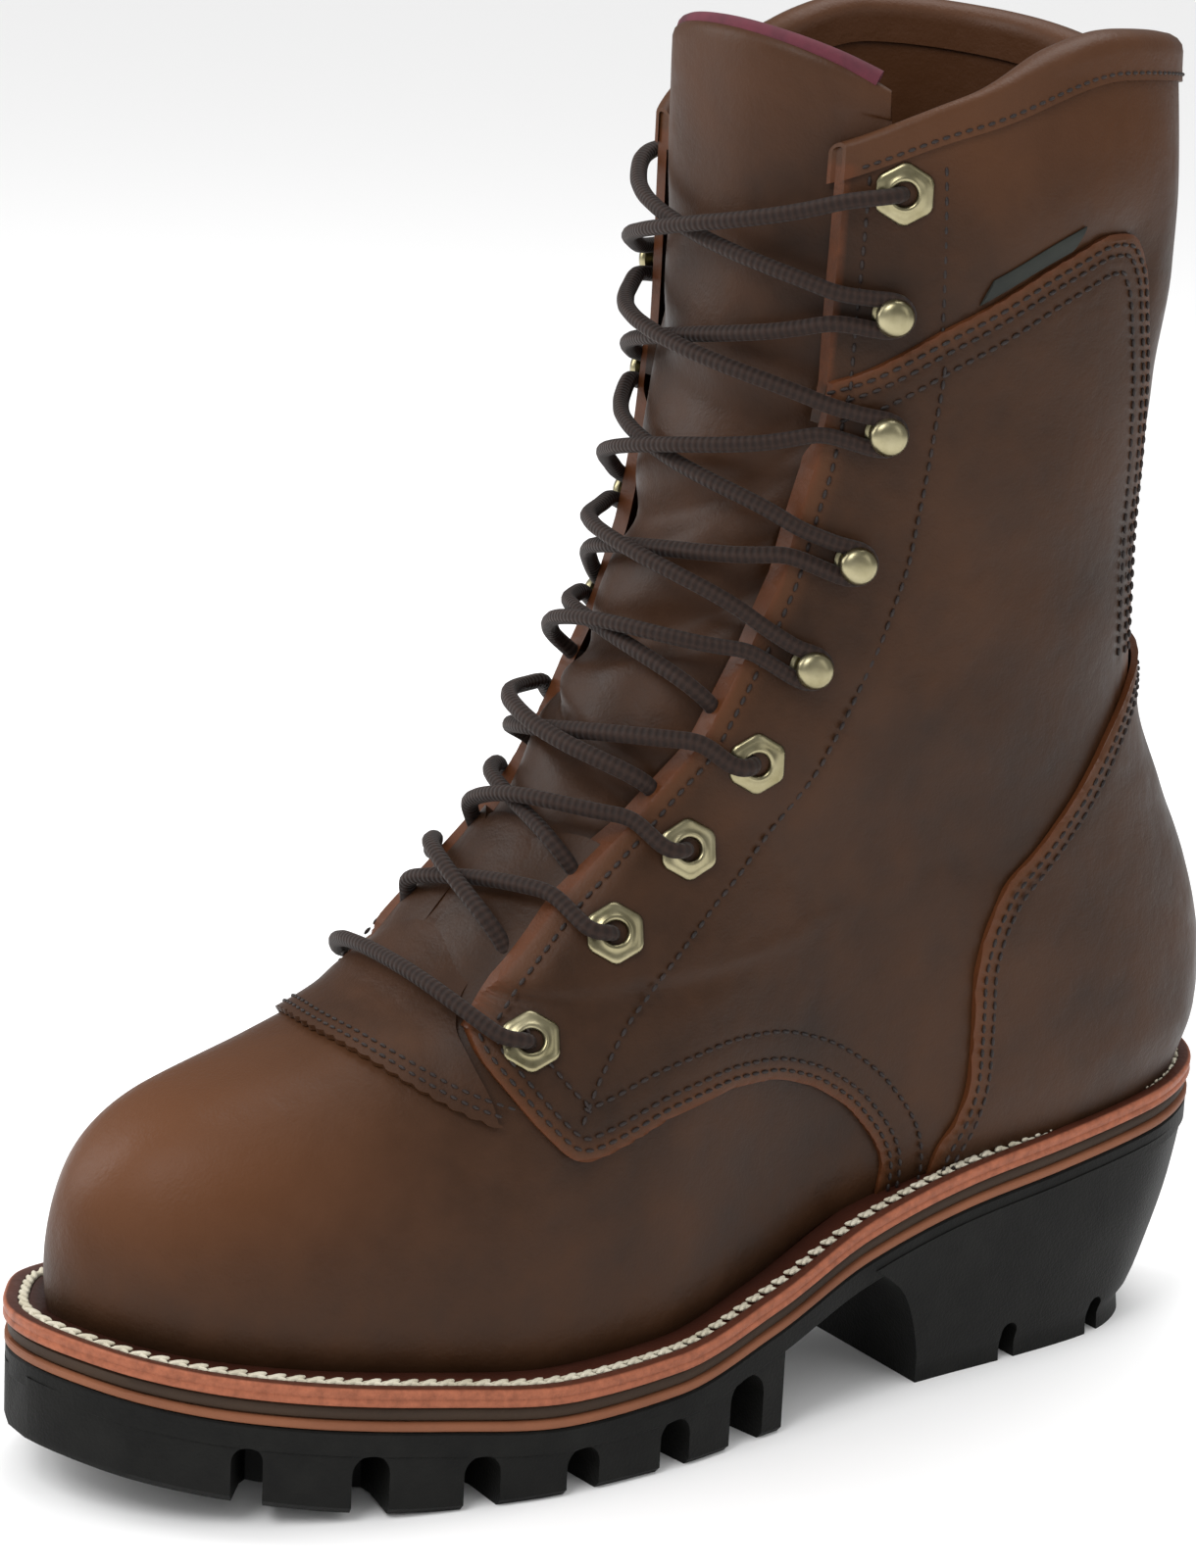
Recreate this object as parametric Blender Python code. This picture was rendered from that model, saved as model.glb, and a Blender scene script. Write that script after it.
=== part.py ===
"""Lace-up logger boot, left foot: a welted leather upper on a lugged rubber sole.

The boot stands on its sole, with its toe towards -Y and its outer side towards +X.
Lengths are in metres. s is the distance from the back of the sole towards the toe,
a station is s as a share of the length, and z is the height over the floor.
"""
import math

import bmesh
import bpy
import numpy as np
from mathutils import Matrix, Vector
from mathutils.bvhtree import BVHTree

# Driving dimensions of the sole
LENGTH = 0.315             # heel to toe, over the welt
BALL_WIDTH = 0.1090        # welt across the ball
HEEL_WIDTH = 0.0765        # welt across the heel
HEEL_HEIGHT = 0.0650       # floor to the welt's top at the back
FOREFOOT_HEIGHT = 0.0262   # floor to the welt's top at the ball
TOE_SPRING = 0.0150        # rise of the welt's top from ball to toe
WELT = 0.0042              # thickness of the welt
WELT_MARGIN = 0.0085       # welt that shows outside the upper
MIDSOLE = 0.0030
SLIP_SOLE = 0.0020
WEB = 0.0060               # outsole above its lugs
INSOLE = 0.0040            # insole above the welt
BREAST = 0.100             # front of the heel, from the back of the boot
HEEL_RAKE = 0.017          # how far the back of the heel runs in on its way down
HEEL_TAPER = 0.0040        # how far its sides run in
LUG_START = 0.146          # first lug of the forefoot, from the back of the boot
LUG_RISE = 0.0140          # rise of the tread from the ball to the toe
NOTCH_WIDTH = 0.0085
NOTCH_REACH = 0.018        # how far a notch runs in under the sole

# Driving dimensions of the upper
TOE_HEIGHT = 0.0565        # toe box over the welt
VAMP_HEIGHT = 0.0770       # ridge of the vamp over the welt, at the front of the throat
SHAFT_HEIGHT = 0.313       # floor to the side peaks of the collar
SHAFT_DEPTH = 0.124        # front to back at the collar
SHAFT_WIDTH = 0.104        # across the collar
ANKLE_WIDTH = 0.080
BLEND = 0.016              # rounding between foot and shaft
LEVEL_TURN = 0.120         # rings of the upper follow the welt up to here, and turn level above
LEATHER = 0.0024           # wall of the vamp and the collar
QUARTER = 0.0018           # quarter over the vamp
COUNTER = 0.0018           # heel counter over the quarter
PAD = 0.0060               # padding that the collar adds inside
BACKSTAY_WIDTH = 0.024
GAP = 0.0003               # between pieces that touch

OVERLAY_GAP = 0.0016       # under the counter and the backstay
OVERLAY_START = 0.006      # their lowest level, as a share of the shaft's rise
PAD_BOTTOM = 0.225         # height over the floor where the collar's padding starts
PAD_FRONT = 0.121          # and its front end, from the back of the boot
PAD_FADE = 0.024           # over which it reaches its thickness
VAMP_LIP = 0.022           # height of the vamp's edge over the foot of the throat
RUBBER_INSET = 0.0006
TREAD_INSET = 0.0012
TREAD_TURN = 0.74          # station where the tread starts to rise
TREAD_CURVE = 1.6
HEEL_NOTCH_HIGH = 0.0095
SLIVER = 0.00001           # edges shorter than this are closed after a cut

# Driving dimensions of the tongue, laces and fittings
TONGUE = 0.0060
TONGUE_TOP = 0.311         # floor to the top of the tongue
THROAT_PIECE = 0.0013
THROAT_PIECE_LIFT = 0.0017 # off the vamp's form
TONGUE_GAP = 0.0015        # under the eyestays
TONGUE_SWELL = 0.0026      # forwards between the eyestays
TONGUE_THIN = 0.55         # share of the padding lost towards the sides
TONGUE_DIP = 0.010         # fall of its top towards the sides
LACE = 0.0040
LACE_OVER = 0.0056         # middle of a strand over the vamp's form, where it crosses the tongue
LACE_CLEAR = 0.0006        # between a lace and the quarter it lies on
STRAND_START = 0.0060      # start of a strand in front of the eyestay's edge
STRAND_LIFT = 0.0050       # and up along it
EYE_INSET = 0.0115         # eyelet from the edge of the eyestay
EYELET_CORNER = 1.155       # corner to corner of the flange, over its flats
EYELET_ACROSS = 0.0125     # flange over its flats
EYELET_BORE = 0.0052
EYELET_BARREL = 0.0070
FLANGE = 0.0010
HOOK_BASE = 0.0092
HOOK_HEAD = 0.0084
HOOK_REACH = 0.0075        # head over the leather

# Counts
SOLE_SIDES = 56
RING_SIDES = 36
HOOK_ROWS = (4, 5, 6, 7)   # the other rows have eyelets

# Halves of the welt's outline, as shares of the heel's width and then of the ball's.
HEEL_ROWS = (              # station, outer, inner
    (0.000, 0.000, 0.000),
    (0.038, 0.320, 0.330),
    (0.095, 0.440, 0.450),
    (0.190, 0.500, 0.500),
    (0.286, 0.535, 0.478),
)
BALL_ROWS = (
    (0.381, 0.408, 0.328),
    (0.476, 0.462, 0.345),
    (0.571, 0.518, 0.408),
    (0.660, 0.533, 0.462),
    (0.746, 0.502, 0.476),
    (0.825, 0.453, 0.446),
    (0.905, 0.364, 0.365),
    (0.952, 0.274, 0.275),
    (0.984, 0.152, 0.142),
    (1.000, 0.000, 0.000),
)
# Rise of the welt's top, as shares of heel rise and toe spring.
RISE_ROWS = (              # station, heel, toe
    (0.000, 1.00, 0.00),
    (0.095, 0.90, 0.00),
    (0.190, 0.79, 0.00),
    (0.286, 0.68, 0.00),
    (0.381, 0.50, 0.00),
    (0.476, 0.22, 0.00),
    (0.571, 0.04, 0.00),
    (0.667, 0.00, 0.02),
    (0.762, 0.00, 0.21),
    (0.889, 0.00, 0.54),
    (1.000, 0.00, 1.00),
)
# Ridge of the foot form over the welt, as shares of the toe box and of the vamp.
TOE_RIDGE = (              # station of the upper, share
    (1.000, 0.00),
    (0.990, 0.43),
    (0.968, 0.64),
    (0.935, 0.815),
    (0.908, 0.905),
    (0.885, 0.96),
    (0.850, 1.035),
    (0.810, 1.125),
)
VAMP_RIDGE = (
    (0.747, 0.955),
    (0.690, 1.19),
    (0.630, 1.43),
    (0.560, 1.71),
    (0.480, 1.85),
    (0.300, 1.10),
    (0.150, 0.74),
    (0.040, 0.50),
    (0.000, 0.30),
)
# Shaft ovals: height over the floor; back and front from the boot's back, as shares of the depth; width.
ANKLE_ROWS = (             # height, back, front, width
    (0.155, 0.072, 1.05, 0.76),
    (0.210, 0.058, 1.10, 0.82),
    (0.255, 0.030, 1.16, 0.88),
    (0.300, 0.040, 1.22, 0.92),
    (0.364, 0.098, 1.28, 0.96),
    (0.428, 0.178, 1.34, 1.00),
)
COLLAR_ROWS = (
    (0.504, 0.268, 1.400, 0.84),
    (0.580, 0.287, 1.340, 0.88),
    (0.650, 0.300, 1.295, 0.91),
    (0.748, 0.290, 1.262, 0.95),
    (0.832, 0.303, 1.245, 0.99),
    (0.900, 0.296, 1.243, 1.01),
    (1.020, 0.305, 1.245, 1.00),
)
RIM_ROWS = (               # turn from the front, drop as a share of the shaft's height
    (0.00, 0.085),
    (0.20, 0.083),
    (0.40, 0.040),
    (0.58, 0.003),
    (0.75, 0.010),
    (1.00, 0.030),
)
HEEL_BLOCK_ROWS = (        # share of its height, of the rake and taper, and of the breast's reach forwards
    (0.00, 1.00, 0.000),
    (0.09, 1.03, 0.000),
    (0.16, 0.86, 0.005),
    (0.40, 0.55, 0.030),
    (0.70, 0.25, 0.080),
    (1.00, 0.06, 0.180),
)
# Lines on the side of the boot, as shares of the length and of the shaft's height.
THROAT_LINE = (            # edge of the eyestay, from the vamp to the collar
    (0.706, 0.323),
    (0.679, 0.355),
    (0.629, 0.407),
    (0.578, 0.456),
    (0.534, 0.510),
    (0.497, 0.577),
    (0.475, 0.630),
    (0.457, 0.704),
    (0.449, 0.760),
    (0.448, 0.830),
    (0.447, 0.915),
)
EYE_ROWS = (               # place along the throat line, inset as a share of the eyelets' inset
    (0.45, 0.90),
    (2.05, 0.98),
    (3.15, 1.05),
    (4.15, 1.08),
    (5.10, 1.10),
    (6.30, 1.12),
    (7.60, 1.00),
    (8.80, 0.90),
    (9.80, 0.90),
)
TONGUE_ROWS = (            # place up the front, degrees to each side, and those of the throat
    (0.95, 34, 20),
    (2.00, 43, 24),
    (3.00, 48, 29),
    (4.50, 50, 32),
    (7.00, 47, 36),
)
THROAT_PIECE_ROWS = (      # place up the front, rise of its sides, degrees to each side
    (0.12, 0.72, 50),
    (0.45, 0.50, 49),
    (0.80, 0.20, 42),
    (1.08, 0.04, 25),
    (1.40, 0.00, 23),
    (1.80, 0.00, 21),
    (2.20, 0.00, 19),
    (2.45, -0.06, 15),
)
VAMP_EDGE = (              # edge of the quarter over the vamp, from the welt to the throat
    (0.352, 0.100),
    (0.357, 0.165),
    (0.356, 0.180),
    (0.370, 0.203),
    (0.395, 0.230),
    (0.430, 0.252),
    (0.468, 0.265),
    (0.514, 0.267),
    (0.571, 0.256),
    (0.606, 0.242),
    (0.640, 0.232),
    (0.652, 0.236),
    (0.676, 0.262),
    (0.694, 0.288),
    (0.706, 0.308),
    (0.705, 0.323),
)
COLLAR_SEAM = (            # top edge of the quarter, from the eyestay to the back
    (0.379, 0.812),
    (0.355, 0.818),
    (0.305, 0.846),
    (0.254, 0.869),
    (0.222, 0.850),
    (0.197, 0.800),
    (0.170, 0.742),
    (0.125, 0.706),
    (0.045, 0.690),
)
COUNTER_EDGE = (           # front edge of the heel counter, from the welt to the back
    (0.316, 0.120),
    (0.311, 0.185),
    (0.297, 0.203),
    (0.290, 0.232),
    (0.292, 0.270),
    (0.296, 0.322),
    (0.290, 0.354),
    (0.274, 0.388),
    (0.252, 0.408),
    (0.219, 0.446),
    (0.184, 0.491),
    (0.146, 0.529),
    (0.100, 0.552),
)
# Spine inside the boot that the front is measured from, and the slope of its rays in degrees.
SPINE_ROWS = (             # place, share of the length, share of the height, slope
    (0, 0.730, 0.160, 68),
    (1, 0.640, 0.190, 58),
    (2, 0.520, 0.280, 44),
    (3, 0.420, 0.400, 30),
    (4, 0.340, 0.540, 14),
    (5, 0.300, 0.700, 5),
    (6, 0.300, 0.860, 1),
    (7, 0.300, 1.030, 0),
)
LEVELS = (                 # rings of the upper over the welt, as shares of the shaft's rise
    0.000, 0.022, 0.053, 0.092, 0.134, 0.176, 0.211, 0.240, 0.268, 0.300, 0.337,
    0.383, 0.437, 0.498, 0.567, 0.640, 0.716, 0.790, 0.854, 0.910, 0.962, 1.000,
)
# Side notches of the tread: station, width share and lean of the notch in degrees.
NOTCHES = (
    (0.500, 1.3, 8),
    (0.570, 1.0, 6),
    (0.650, 1.0, 2),
    (0.728, 1.0, -4),
    (0.808, 1.0, -14),
    (0.890, 0.8, -34),
)
HEEL_NOTCHES = ((0.130, 0.6), (0.225, 0.6))


def smooth(rows, place):
    """Value at a place on a smooth curve through rows of (place, value), with no overshoot."""
    places, values = np.array(sorted(rows), float).T
    step = np.diff(places)
    slope = np.diff(values) / step
    bend = slope[:-1] * slope[1:]
    inner = np.where(bend > 0, 2 * bend / np.where(bend > 0, slope[:-1] + slope[1:], 1), 0)
    tangent = np.concatenate([slope[:1], inner, slope[-1:]])
    place = np.clip(place, places[0], places[-1])
    i = np.clip(np.searchsorted(places, place, side="right") - 1, 0, len(step) - 1)
    t = (place - places[i]) / step[i]
    return ((1 + 2 * t) * (1 - t) ** 2 * values[i] + t * (1 - t) ** 2 * step[i] * tangent[i]
            + t * t * (3 - 2 * t) * values[i + 1] + t * t * (t - 1) * step[i] * tangent[i + 1])


def around(station):
    """Angle on a half turn that spreads the stations near heel and toe."""
    return np.arccos(1 - 2 * np.clip(station, 0, 1))


def half_width(station, side):
    """Half width of the welt at a station; side is 1 outside and -1 inside."""
    column = np.where(side > 0, 1, 2)
    halves = []
    for c in (1, 2):
        rows = [(around(row[0]), row[c] * HEEL_WIDTH) for row in HEEL_ROWS]
        rows += [(around(row[0]), row[c] * BALL_WIDTH) for row in BALL_ROWS]
        halves.append(smooth(rows, around(station)))
    return np.where(column == 1, halves[0], halves[1])


def welt_top(station):
    """Height of the welt's top face over the floor."""
    heel = smooth([(row[0], row[1]) for row in RISE_ROWS], station)
    toe = smooth([(row[0], row[2]) for row in RISE_ROWS], station)
    return FOREFOOT_HEIGHT + (HEEL_HEIGHT - FOREFOOT_HEIGHT) * heel + TOE_SPRING * toe


def foot_form(x, s, z):
    """Signed distance, about, to the foot part of the last; s is metres from the back of the boot."""
    station = (s - WELT_MARGIN) / (LENGTH - 2 * WELT_MARGIN)
    inside = np.clip(station, 0, 1)
    share = 1 - WELT_MARGIN / smooth([(0, HEEL_WIDTH / 2), (0.35, HEEL_WIDTH / 2), (0.6, BALL_WIDTH / 2), (1, BALL_WIDTH / 2)], inside)
    half = half_width(inside, np.sign(x)) * share
    ridge = [(around(p), v * TOE_HEIGHT) for p, v in TOE_RIDGE] + [(around(p), v * VAMP_HEIGHT) for p, v in VAMP_RIDGE]
    high = smooth(ridge, around(inside))
    over = z - welt_top(np.clip(s / LENGTH, 0, 1))
    tuck = 0.0022 * np.clip(1 - over / 0.014, 0, 1) ** 2
    across = np.abs(x) / np.maximum(half - tuck, 1e-4)
    up = np.maximum(over, 0) / np.maximum(high, 1e-4)
    size = np.clip(np.minimum(half, high), 0.020, 0.030)
    d = ((across ** 2.6 + up ** 2.4) ** (1 / 2.5) - 1) * size
    out = np.maximum(-station, station - 1) * LENGTH
    return np.where(out > 0, np.maximum(d, out), d)


def shaft_form(x, s, z):
    """Signed distance, about, to the shaft of the last."""
    high = z / SHAFT_HEIGHT
    rows = ANKLE_ROWS + COLLAR_ROWS
    back = smooth([(r[0], r[1] * SHAFT_DEPTH) for r in rows], high)
    front = smooth([(r[0], r[2] * SHAFT_DEPTH) for r in rows], high)
    wide = smooth([(r[0], r[3] * ANKLE_WIDTH) for r in ANKLE_ROWS] + [(r[0], r[3] * SHAFT_WIDTH) for r in COLLAR_ROWS], high)
    along = (s - (back + front) / 2) / ((front - back) / 2)
    across = x / (wide / 2)
    return ((np.abs(along) ** 2.25 + np.abs(across) ** 2.25) ** (1 / 2.25) - 1) * wide / 2


def form(x, s, z):
    """Signed distance, about, to the vamp's outer face: foot and shaft run into each other."""
    a, b = foot_form(x, s, z), shaft_form(x, s, z)
    h = np.maximum(BLEND - np.abs(a - b), 0) / BLEND
    return np.minimum(a, b) - h * h * BLEND / 4


def root(value, low, high, steps=36):
    """Where value(r), below zero at low and above it at high, crosses zero."""
    low, high = low + 0 * value(low), high + 0 * value(low)
    for _ in range(steps):
        middle = (low + high) / 2
        inside = value(middle) < 0
        low, high = np.where(inside, middle, low), np.where(inside, high, middle)
    return (low + high) / 2


def level_height(level, s, turn):
    """Height over the floor of a level line; low levels follow the welt and the last is the rim."""
    top = SHAFT_HEIGHT - rim_base()
    flat = np.clip((level - LEVEL_TURN) / (top - LEVEL_TURN), 0, 1)
    flat = flat * flat * (3 - 2 * flat)
    drop = smooth(RIM_ROWS, turn / math.pi) * SHAFT_HEIGHT
    follows = welt_top(np.clip(s / LENGTH, 0, 1)) + level
    return (1 - flat) * follows + flat * (level + rim_base() - drop * flat)


def ring(level, count):
    """Points (x, s, z) around the form at one level, from the front round the outer side."""
    turn = 2 * math.pi * np.arange(count) / count
    fold = np.minimum(turn, 2 * math.pi - turn)

    def on_axis(s, t):
        return form(0 * s + 1e-6, s, level_height(level, s, t))
    start = np.array([0.085])
    front = root(lambda r: on_axis(start + r, 0.0), np.array([0.0]), np.array([LENGTH]))[0] + start[0]
    back = start[0] - root(lambda r: on_axis(start - r, math.pi), np.array([0.0]), np.array([0.12]))[0]
    middle, reach = (front + back) / 2, (front - back) / 2
    spread = max(reach - 0.040, 0.0)
    base = middle + spread * np.cos(turn)

    def along(r):
        x = r * np.sin(turn)
        s = base + r * np.cos(turn)
        return form(x, s, level_height(level, s, fold))
    r = root(along, 0 * turn, 0 * turn + 0.10)
    x, s = r * np.sin(turn), base + r * np.cos(turn)
    return np.stack([x, s, level_height(level, s, fold)], -1)



def rim_base():
    """Mean height of the welt's top under the shaft."""
    return (2 * HEEL_HEIGHT + FOREFOOT_HEIGHT) / 3


def skin(points, offset):
    """The points (x, s, z) moved along the form's normal by an offset."""
    points = np.asarray(points, float)
    step = 0.0006
    grad = []
    for axis in range(3):
        move = np.zeros(3)
        move[axis] = step
        ahead, behind = points + move, points - move
        grad.append(form(*ahead.T).T - form(*behind.T).T)
    grad = np.stack(grad, -1)
    grad /= np.linalg.norm(grad, axis=-1, keepdims=True)
    return points + grad * np.asarray(offset, float)[..., None]


def onto(points, offset):
    """Points near the form brought onto it and then out by an offset."""
    points = np.asarray(points, float)
    step = 0.0006
    for _ in range(10):
        grad = np.stack([(form(*(points + move).T) - form(*(points - move).T)) / (2 * step)
                         for move in np.eye(3) * step], -1)
        pull = form(*points.T) / np.maximum((grad * grad).sum(-1), 0.05)
        points = points - grad * pull[:, None]
    return skin(points, offset)


def side_point(s, z, side, offset):
    """Points of the form's outer or inner side at places of the side view."""
    s, z = np.atleast_1d(s), np.atleast_1d(z)
    x = root(lambda r: form(r, s, z), 0 * s, 0 * s + 0.08)
    return skin(np.stack([side * x, s, z], -1), offset + 0 * s)


def fan(place, turn, offset):
    """Point of the form's front: place runs up the spine, turn is the angle to either side."""
    s = smooth([(r[0], r[1] * LENGTH) for r in SPINE_ROWS], place)
    z = smooth([(r[0], r[2] * SHAFT_HEIGHT) for r in SPINE_ROWS], place)
    slope = np.radians(smooth([(r[0], r[3]) for r in SPINE_ROWS], place))
    ray = np.stack([np.sin(turn), np.cos(turn) * np.cos(slope), np.cos(turn) * np.sin(slope)], -1)
    start = np.stack([0 * s, s, z], -1)
    r = root(lambda r: form(*(start + r[..., None] * ray).T).T, 0 * turn + 0 * s, 0 * turn + 0 * s + 0.12)
    return skin(start + r[..., None] * ray, offset + 0 * r)


def line_points(rows):
    """A side line in metres: (s, z) for each row."""
    return [(row[0] * LENGTH, row[1] * SHAFT_HEIGHT) for row in rows]


def along_throat(place):
    """Point (s, z) of the throat line at a place, and its direction."""
    rows = line_points(THROAT_LINE)
    s = [(i, row[0]) for i, row in enumerate(rows)]
    z = [(i, row[1]) for i, row in enumerate(rows)]
    point = np.array([float(smooth(s, place)), float(smooth(z, place))])
    ahead = np.array([float(smooth(s, place + 0.05)), float(smooth(z, place + 0.05))])
    back = np.array([float(smooth(s, place - 0.05)), float(smooth(z, place - 0.05))])
    run = ahead - back
    return point, run / np.linalg.norm(run)


def eye_place(row):
    """Side-view place (s, z) of an eyelet or hook."""
    place, share = EYE_ROWS[row]
    point, run = along_throat(place)
    return point + share * EYE_INSET * np.array([-run[1], run[0]])


def world(points):
    """Points (x, s, z) as world coordinates, with the boot's box centred on the origin."""
    points = np.asarray(points, float)
    return np.stack([points[..., 0] - middle_x(), LENGTH / 2 - points[..., 1], points[..., 2]], -1)


def middle_x():
    """Middle of the sole's box across the boot."""
    station = np.linspace(0, 1, 400)
    outer = half_width(station, 1 + 0 * station).max()
    inner = half_width(station, -1 + 0 * station).max()
    return (outer - inner) / 2


def material(name, color, roughness, metallic=0.0):
    """Plain material of one colour."""
    item = bpy.data.materials.new(name)
    item.use_nodes = True
    shader = item.node_tree.nodes["Principled BSDF"]
    shader.inputs["Base Color"].default_value = (*color, 1)
    shader.inputs["Roughness"].default_value = roughness
    shader.inputs["Metallic"].default_value = metallic
    return item


def place(name, mesh, finish, collection):
    """Object with a finished mesh in a collection."""
    item = bpy.data.objects.new(name, mesh)
    collection.objects.link(item)
    if finish:
        item.data.materials.append(finish)
    return item


def closed_mesh(name, points, faces):
    """Mesh from points (x, s, z) and faces, doubles merged and faces turned outwards."""
    bm = bmesh.new()
    verts = [bm.verts.new(point) for point in world(points)]
    for face in faces:
        bm.faces.new([verts[i] for i in face])
    bmesh.ops.remove_doubles(bm, verts=bm.verts, dist=0.00002)
    bmesh.ops.dissolve_degenerate(bm, edges=bm.edges, dist=0.00001)
    bmesh.ops.recalc_face_normals(bm, faces=bm.faces)
    mesh = bpy.data.meshes.new(name)
    bm.to_mesh(mesh)
    bm.free()
    return mesh


def lofted(name, rings, closed=False):
    """Solid through rings of equal count, capped at both ends or closed on itself."""
    count, size = len(rings), len(rings[0])
    points = [point for ring_points in rings for point in ring_points]
    faces = []
    for j in range(count if closed else count - 1):
        k = (j + 1) % count
        for i in range(size):
            n = (i + 1) % size
            faces.append((j * size + i, j * size + n, k * size + n, k * size + i))
    if not closed:
        faces.append(tuple(range(size)))
        faces.append(tuple((count - 1) * size + i for i in range(size)))
    return closed_mesh(name, points, faces)


def slab(name, outer, top, bottom):
    """Plate with an outline (x, s) and top and bottom heights; its faces run across the sole."""
    count = len(outer)
    points = [(x, s, z) for (x, s), z in zip(outer, top)] + [(x, s, z) for (x, s), z in zip(outer, bottom)]
    faces = []
    for i in range(count):
        n = (i + 1) % count
        faces.append((i, n, count + n, count + i))
    for start in (0, count):
        for i in range(count // 2):
            corners = [i, i + 1, (count - i - 1) % count, (count - i) % count]
            faces.append(tuple(start + c for c in dict.fromkeys(corners)))
    return closed_mesh(name, points, faces)


def modify(target, kind, cutter):
    """Boolean of a target with a cutter, applied at once and tidied."""
    change = target.modifiers.new(kind.lower(), "BOOLEAN")
    change.operation = kind
    change.object = cutter
    change.solver = "MANIFOLD"
    bpy.context.view_layer.update()
    shape = bpy.data.meshes.new_from_object(target.evaluated_get(bpy.context.evaluated_depsgraph_get()))
    target.modifiers.clear()
    bm = bmesh.new()
    bm.from_mesh(shape)
    bmesh.ops.dissolve_degenerate(bm, dist=SLIVER, edges=bm.edges)
    keep_largest(bm)
    bm.to_mesh(shape)
    bm.free()
    old = target.data
    target.data = shape
    bpy.data.meshes.remove(old)


def keep_largest(bm):
    """Leave only the body with the most corners."""
    left, bodies = set(bm.verts), []
    while left:
        body, edge = set(), [left.pop()]
        while edge:
            corner = edge.pop()
            body.add(corner)
            near = {side.other_vert(corner) for side in corner.link_edges} - body
            body |= near
            edge.extend(near)
        left -= body
        bodies.append(body)
    bodies.sort(key=len)
    bmesh.ops.delete(bm, geom=[corner for body in bodies[:-1] for corner in body], context="VERTS")


def drop(item):
    """Remove a helper object and its mesh."""
    mesh = item.data
    bpy.data.objects.remove(item)
    bpy.data.meshes.remove(mesh)


def prism(name, outline_sz, low, high, tools):
    """Cutter that runs across the boot between two places x, with an outline (s, z)."""
    rings = [[(x, s, z) for s, z in outline_sz] for x in (low, high)]
    cutter = place(name, lofted(name, rings), None, tools)
    cutter.hide_render = True
    cutter.display_type = "WIRE"
    return cutter


def outline(inset):
    """Points (x, s) round the sole from the back of the heel, outer side first, moved in."""
    turn = 2 * math.pi * np.arange(SOLE_SIDES) / SOLE_SIDES
    station = (1 - np.cos(turn)) / 2
    side = np.where(turn < math.pi, 1, -1)
    points = np.stack([side * half_width(station, side), station * LENGTH], -1)
    run = np.roll(points, -1, 0) - np.roll(points, 1, 0)
    run /= np.linalg.norm(run, axis=1)[:, None]
    return points - inset * np.stack([run[:, 1], -run[:, 0]], -1)


def top_at(points):
    """Height of the welt's top at points (x, s)."""
    return welt_top(np.clip(np.asarray(points)[:, 1] / LENGTH, 0, 1))


def tread(s):
    """Height of the tread's underside in the forefoot."""
    past = np.clip((s / LENGTH - TREAD_TURN) / (1 - TREAD_TURN), 0, 1)
    return LUG_RISE * past ** TREAD_CURVE


def make_welt(finish, parts):
    """Strip round the boot that the upper stands on."""
    outer = outline(0.0)
    inner = outline(WELT_MARGIN + LEATHER + 2 * GAP)
    rings = []
    for (x, s), (u, v), high, low in zip(outer, inner, top_at(outer), top_at(inner)):
        rings.append([(x, s, high), (u, v, low), (u, v, low - WELT), (x, s, high - WELT)])
    return place("welt", lofted("welt", rings, closed=True), finish, parts)


def make_insole(finish, parts):
    """Insole and filler inside the welt."""
    edge = outline(WELT_MARGIN + LEATHER + 12 * GAP)
    high = top_at(edge)
    return place("insole", slab("insole", edge, high + INSOLE, high - WELT), finish, parts)


def make_layer(name, inset, down, thickness, finish, parts):
    """Full layer of the sole, with its top a distance down from the welt's."""
    edge = outline(inset)
    high = top_at(edge) - down
    return place(name, slab(name, edge, high, high - thickness), finish, parts)


def heel_rings(stack):
    """Rings of the heel block from the floor up to a distance under the welt's top."""
    quarter_turn = np.linspace(0, math.pi / 2, 9)
    rings = []
    for share, rake, reach in HEEL_BLOCK_ROWS:
        front, back = BREAST * (1 + reach), rake * HEEL_RAKE
        ahead = 1 - np.sin(quarter_turn)
        s = back + (front - back) * ahead
        wide = [np.maximum(half_width(ahead * front / LENGTH, side + 0 * s) - rake * HEEL_TAPER, 0) for side in (1, -1)]
        x = np.concatenate([wide[0], -wide[1][-2::-1]])
        s = np.concatenate([s, s[-2::-1]])
        z = share * (welt_top(s / LENGTH) - stack)
        rings.append(np.stack([x, s, z], -1))
    return rings


def notch_cutter(name, middle, run, width, depth, low, high, tools):
    """Round-topped slot cutter: middle and run are places (x, s) at the edge and its inward direction."""
    across = np.array([-run[1], run[0]])
    profile = [(-1, 0)] + [(-math.cos(a), 1 + math.sin(a)) for a in np.linspace(0, math.pi, 6)] + [(1, 0)]
    rings = []
    for reach in (-0.012, depth):
        ring_points = []
        for u, v in profile:
            spot = middle + run * reach + across * u * width / 2
            up = low if v == 0 else high - width / 2 * (2 - v)
            ring_points.append((spot[0], spot[1], up))
        rings.append(ring_points)
    return place(name, lofted(name, rings), None, tools)


def tread_rings(stack):
    """Rings of the tread block, from the breast of the forefoot's tread to the toe."""
    stations = np.concatenate([[LUG_START / LENGTH], np.linspace(0.52, 0.94, 9), [0.965, 0.985, 0.997]])
    rings = []
    for station in stations:
        s = station * LENGTH
        outer, inner = [side * (float(half_width(station, side)) - TREAD_INSET) for side in (1, -1)]
        high, low = float(welt_top(station)) - stack, float(tread(s))
        rings.append([(outer, s, high), (inner, s, high), (inner, s, low), (outer, s, low)])
    return rings


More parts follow.
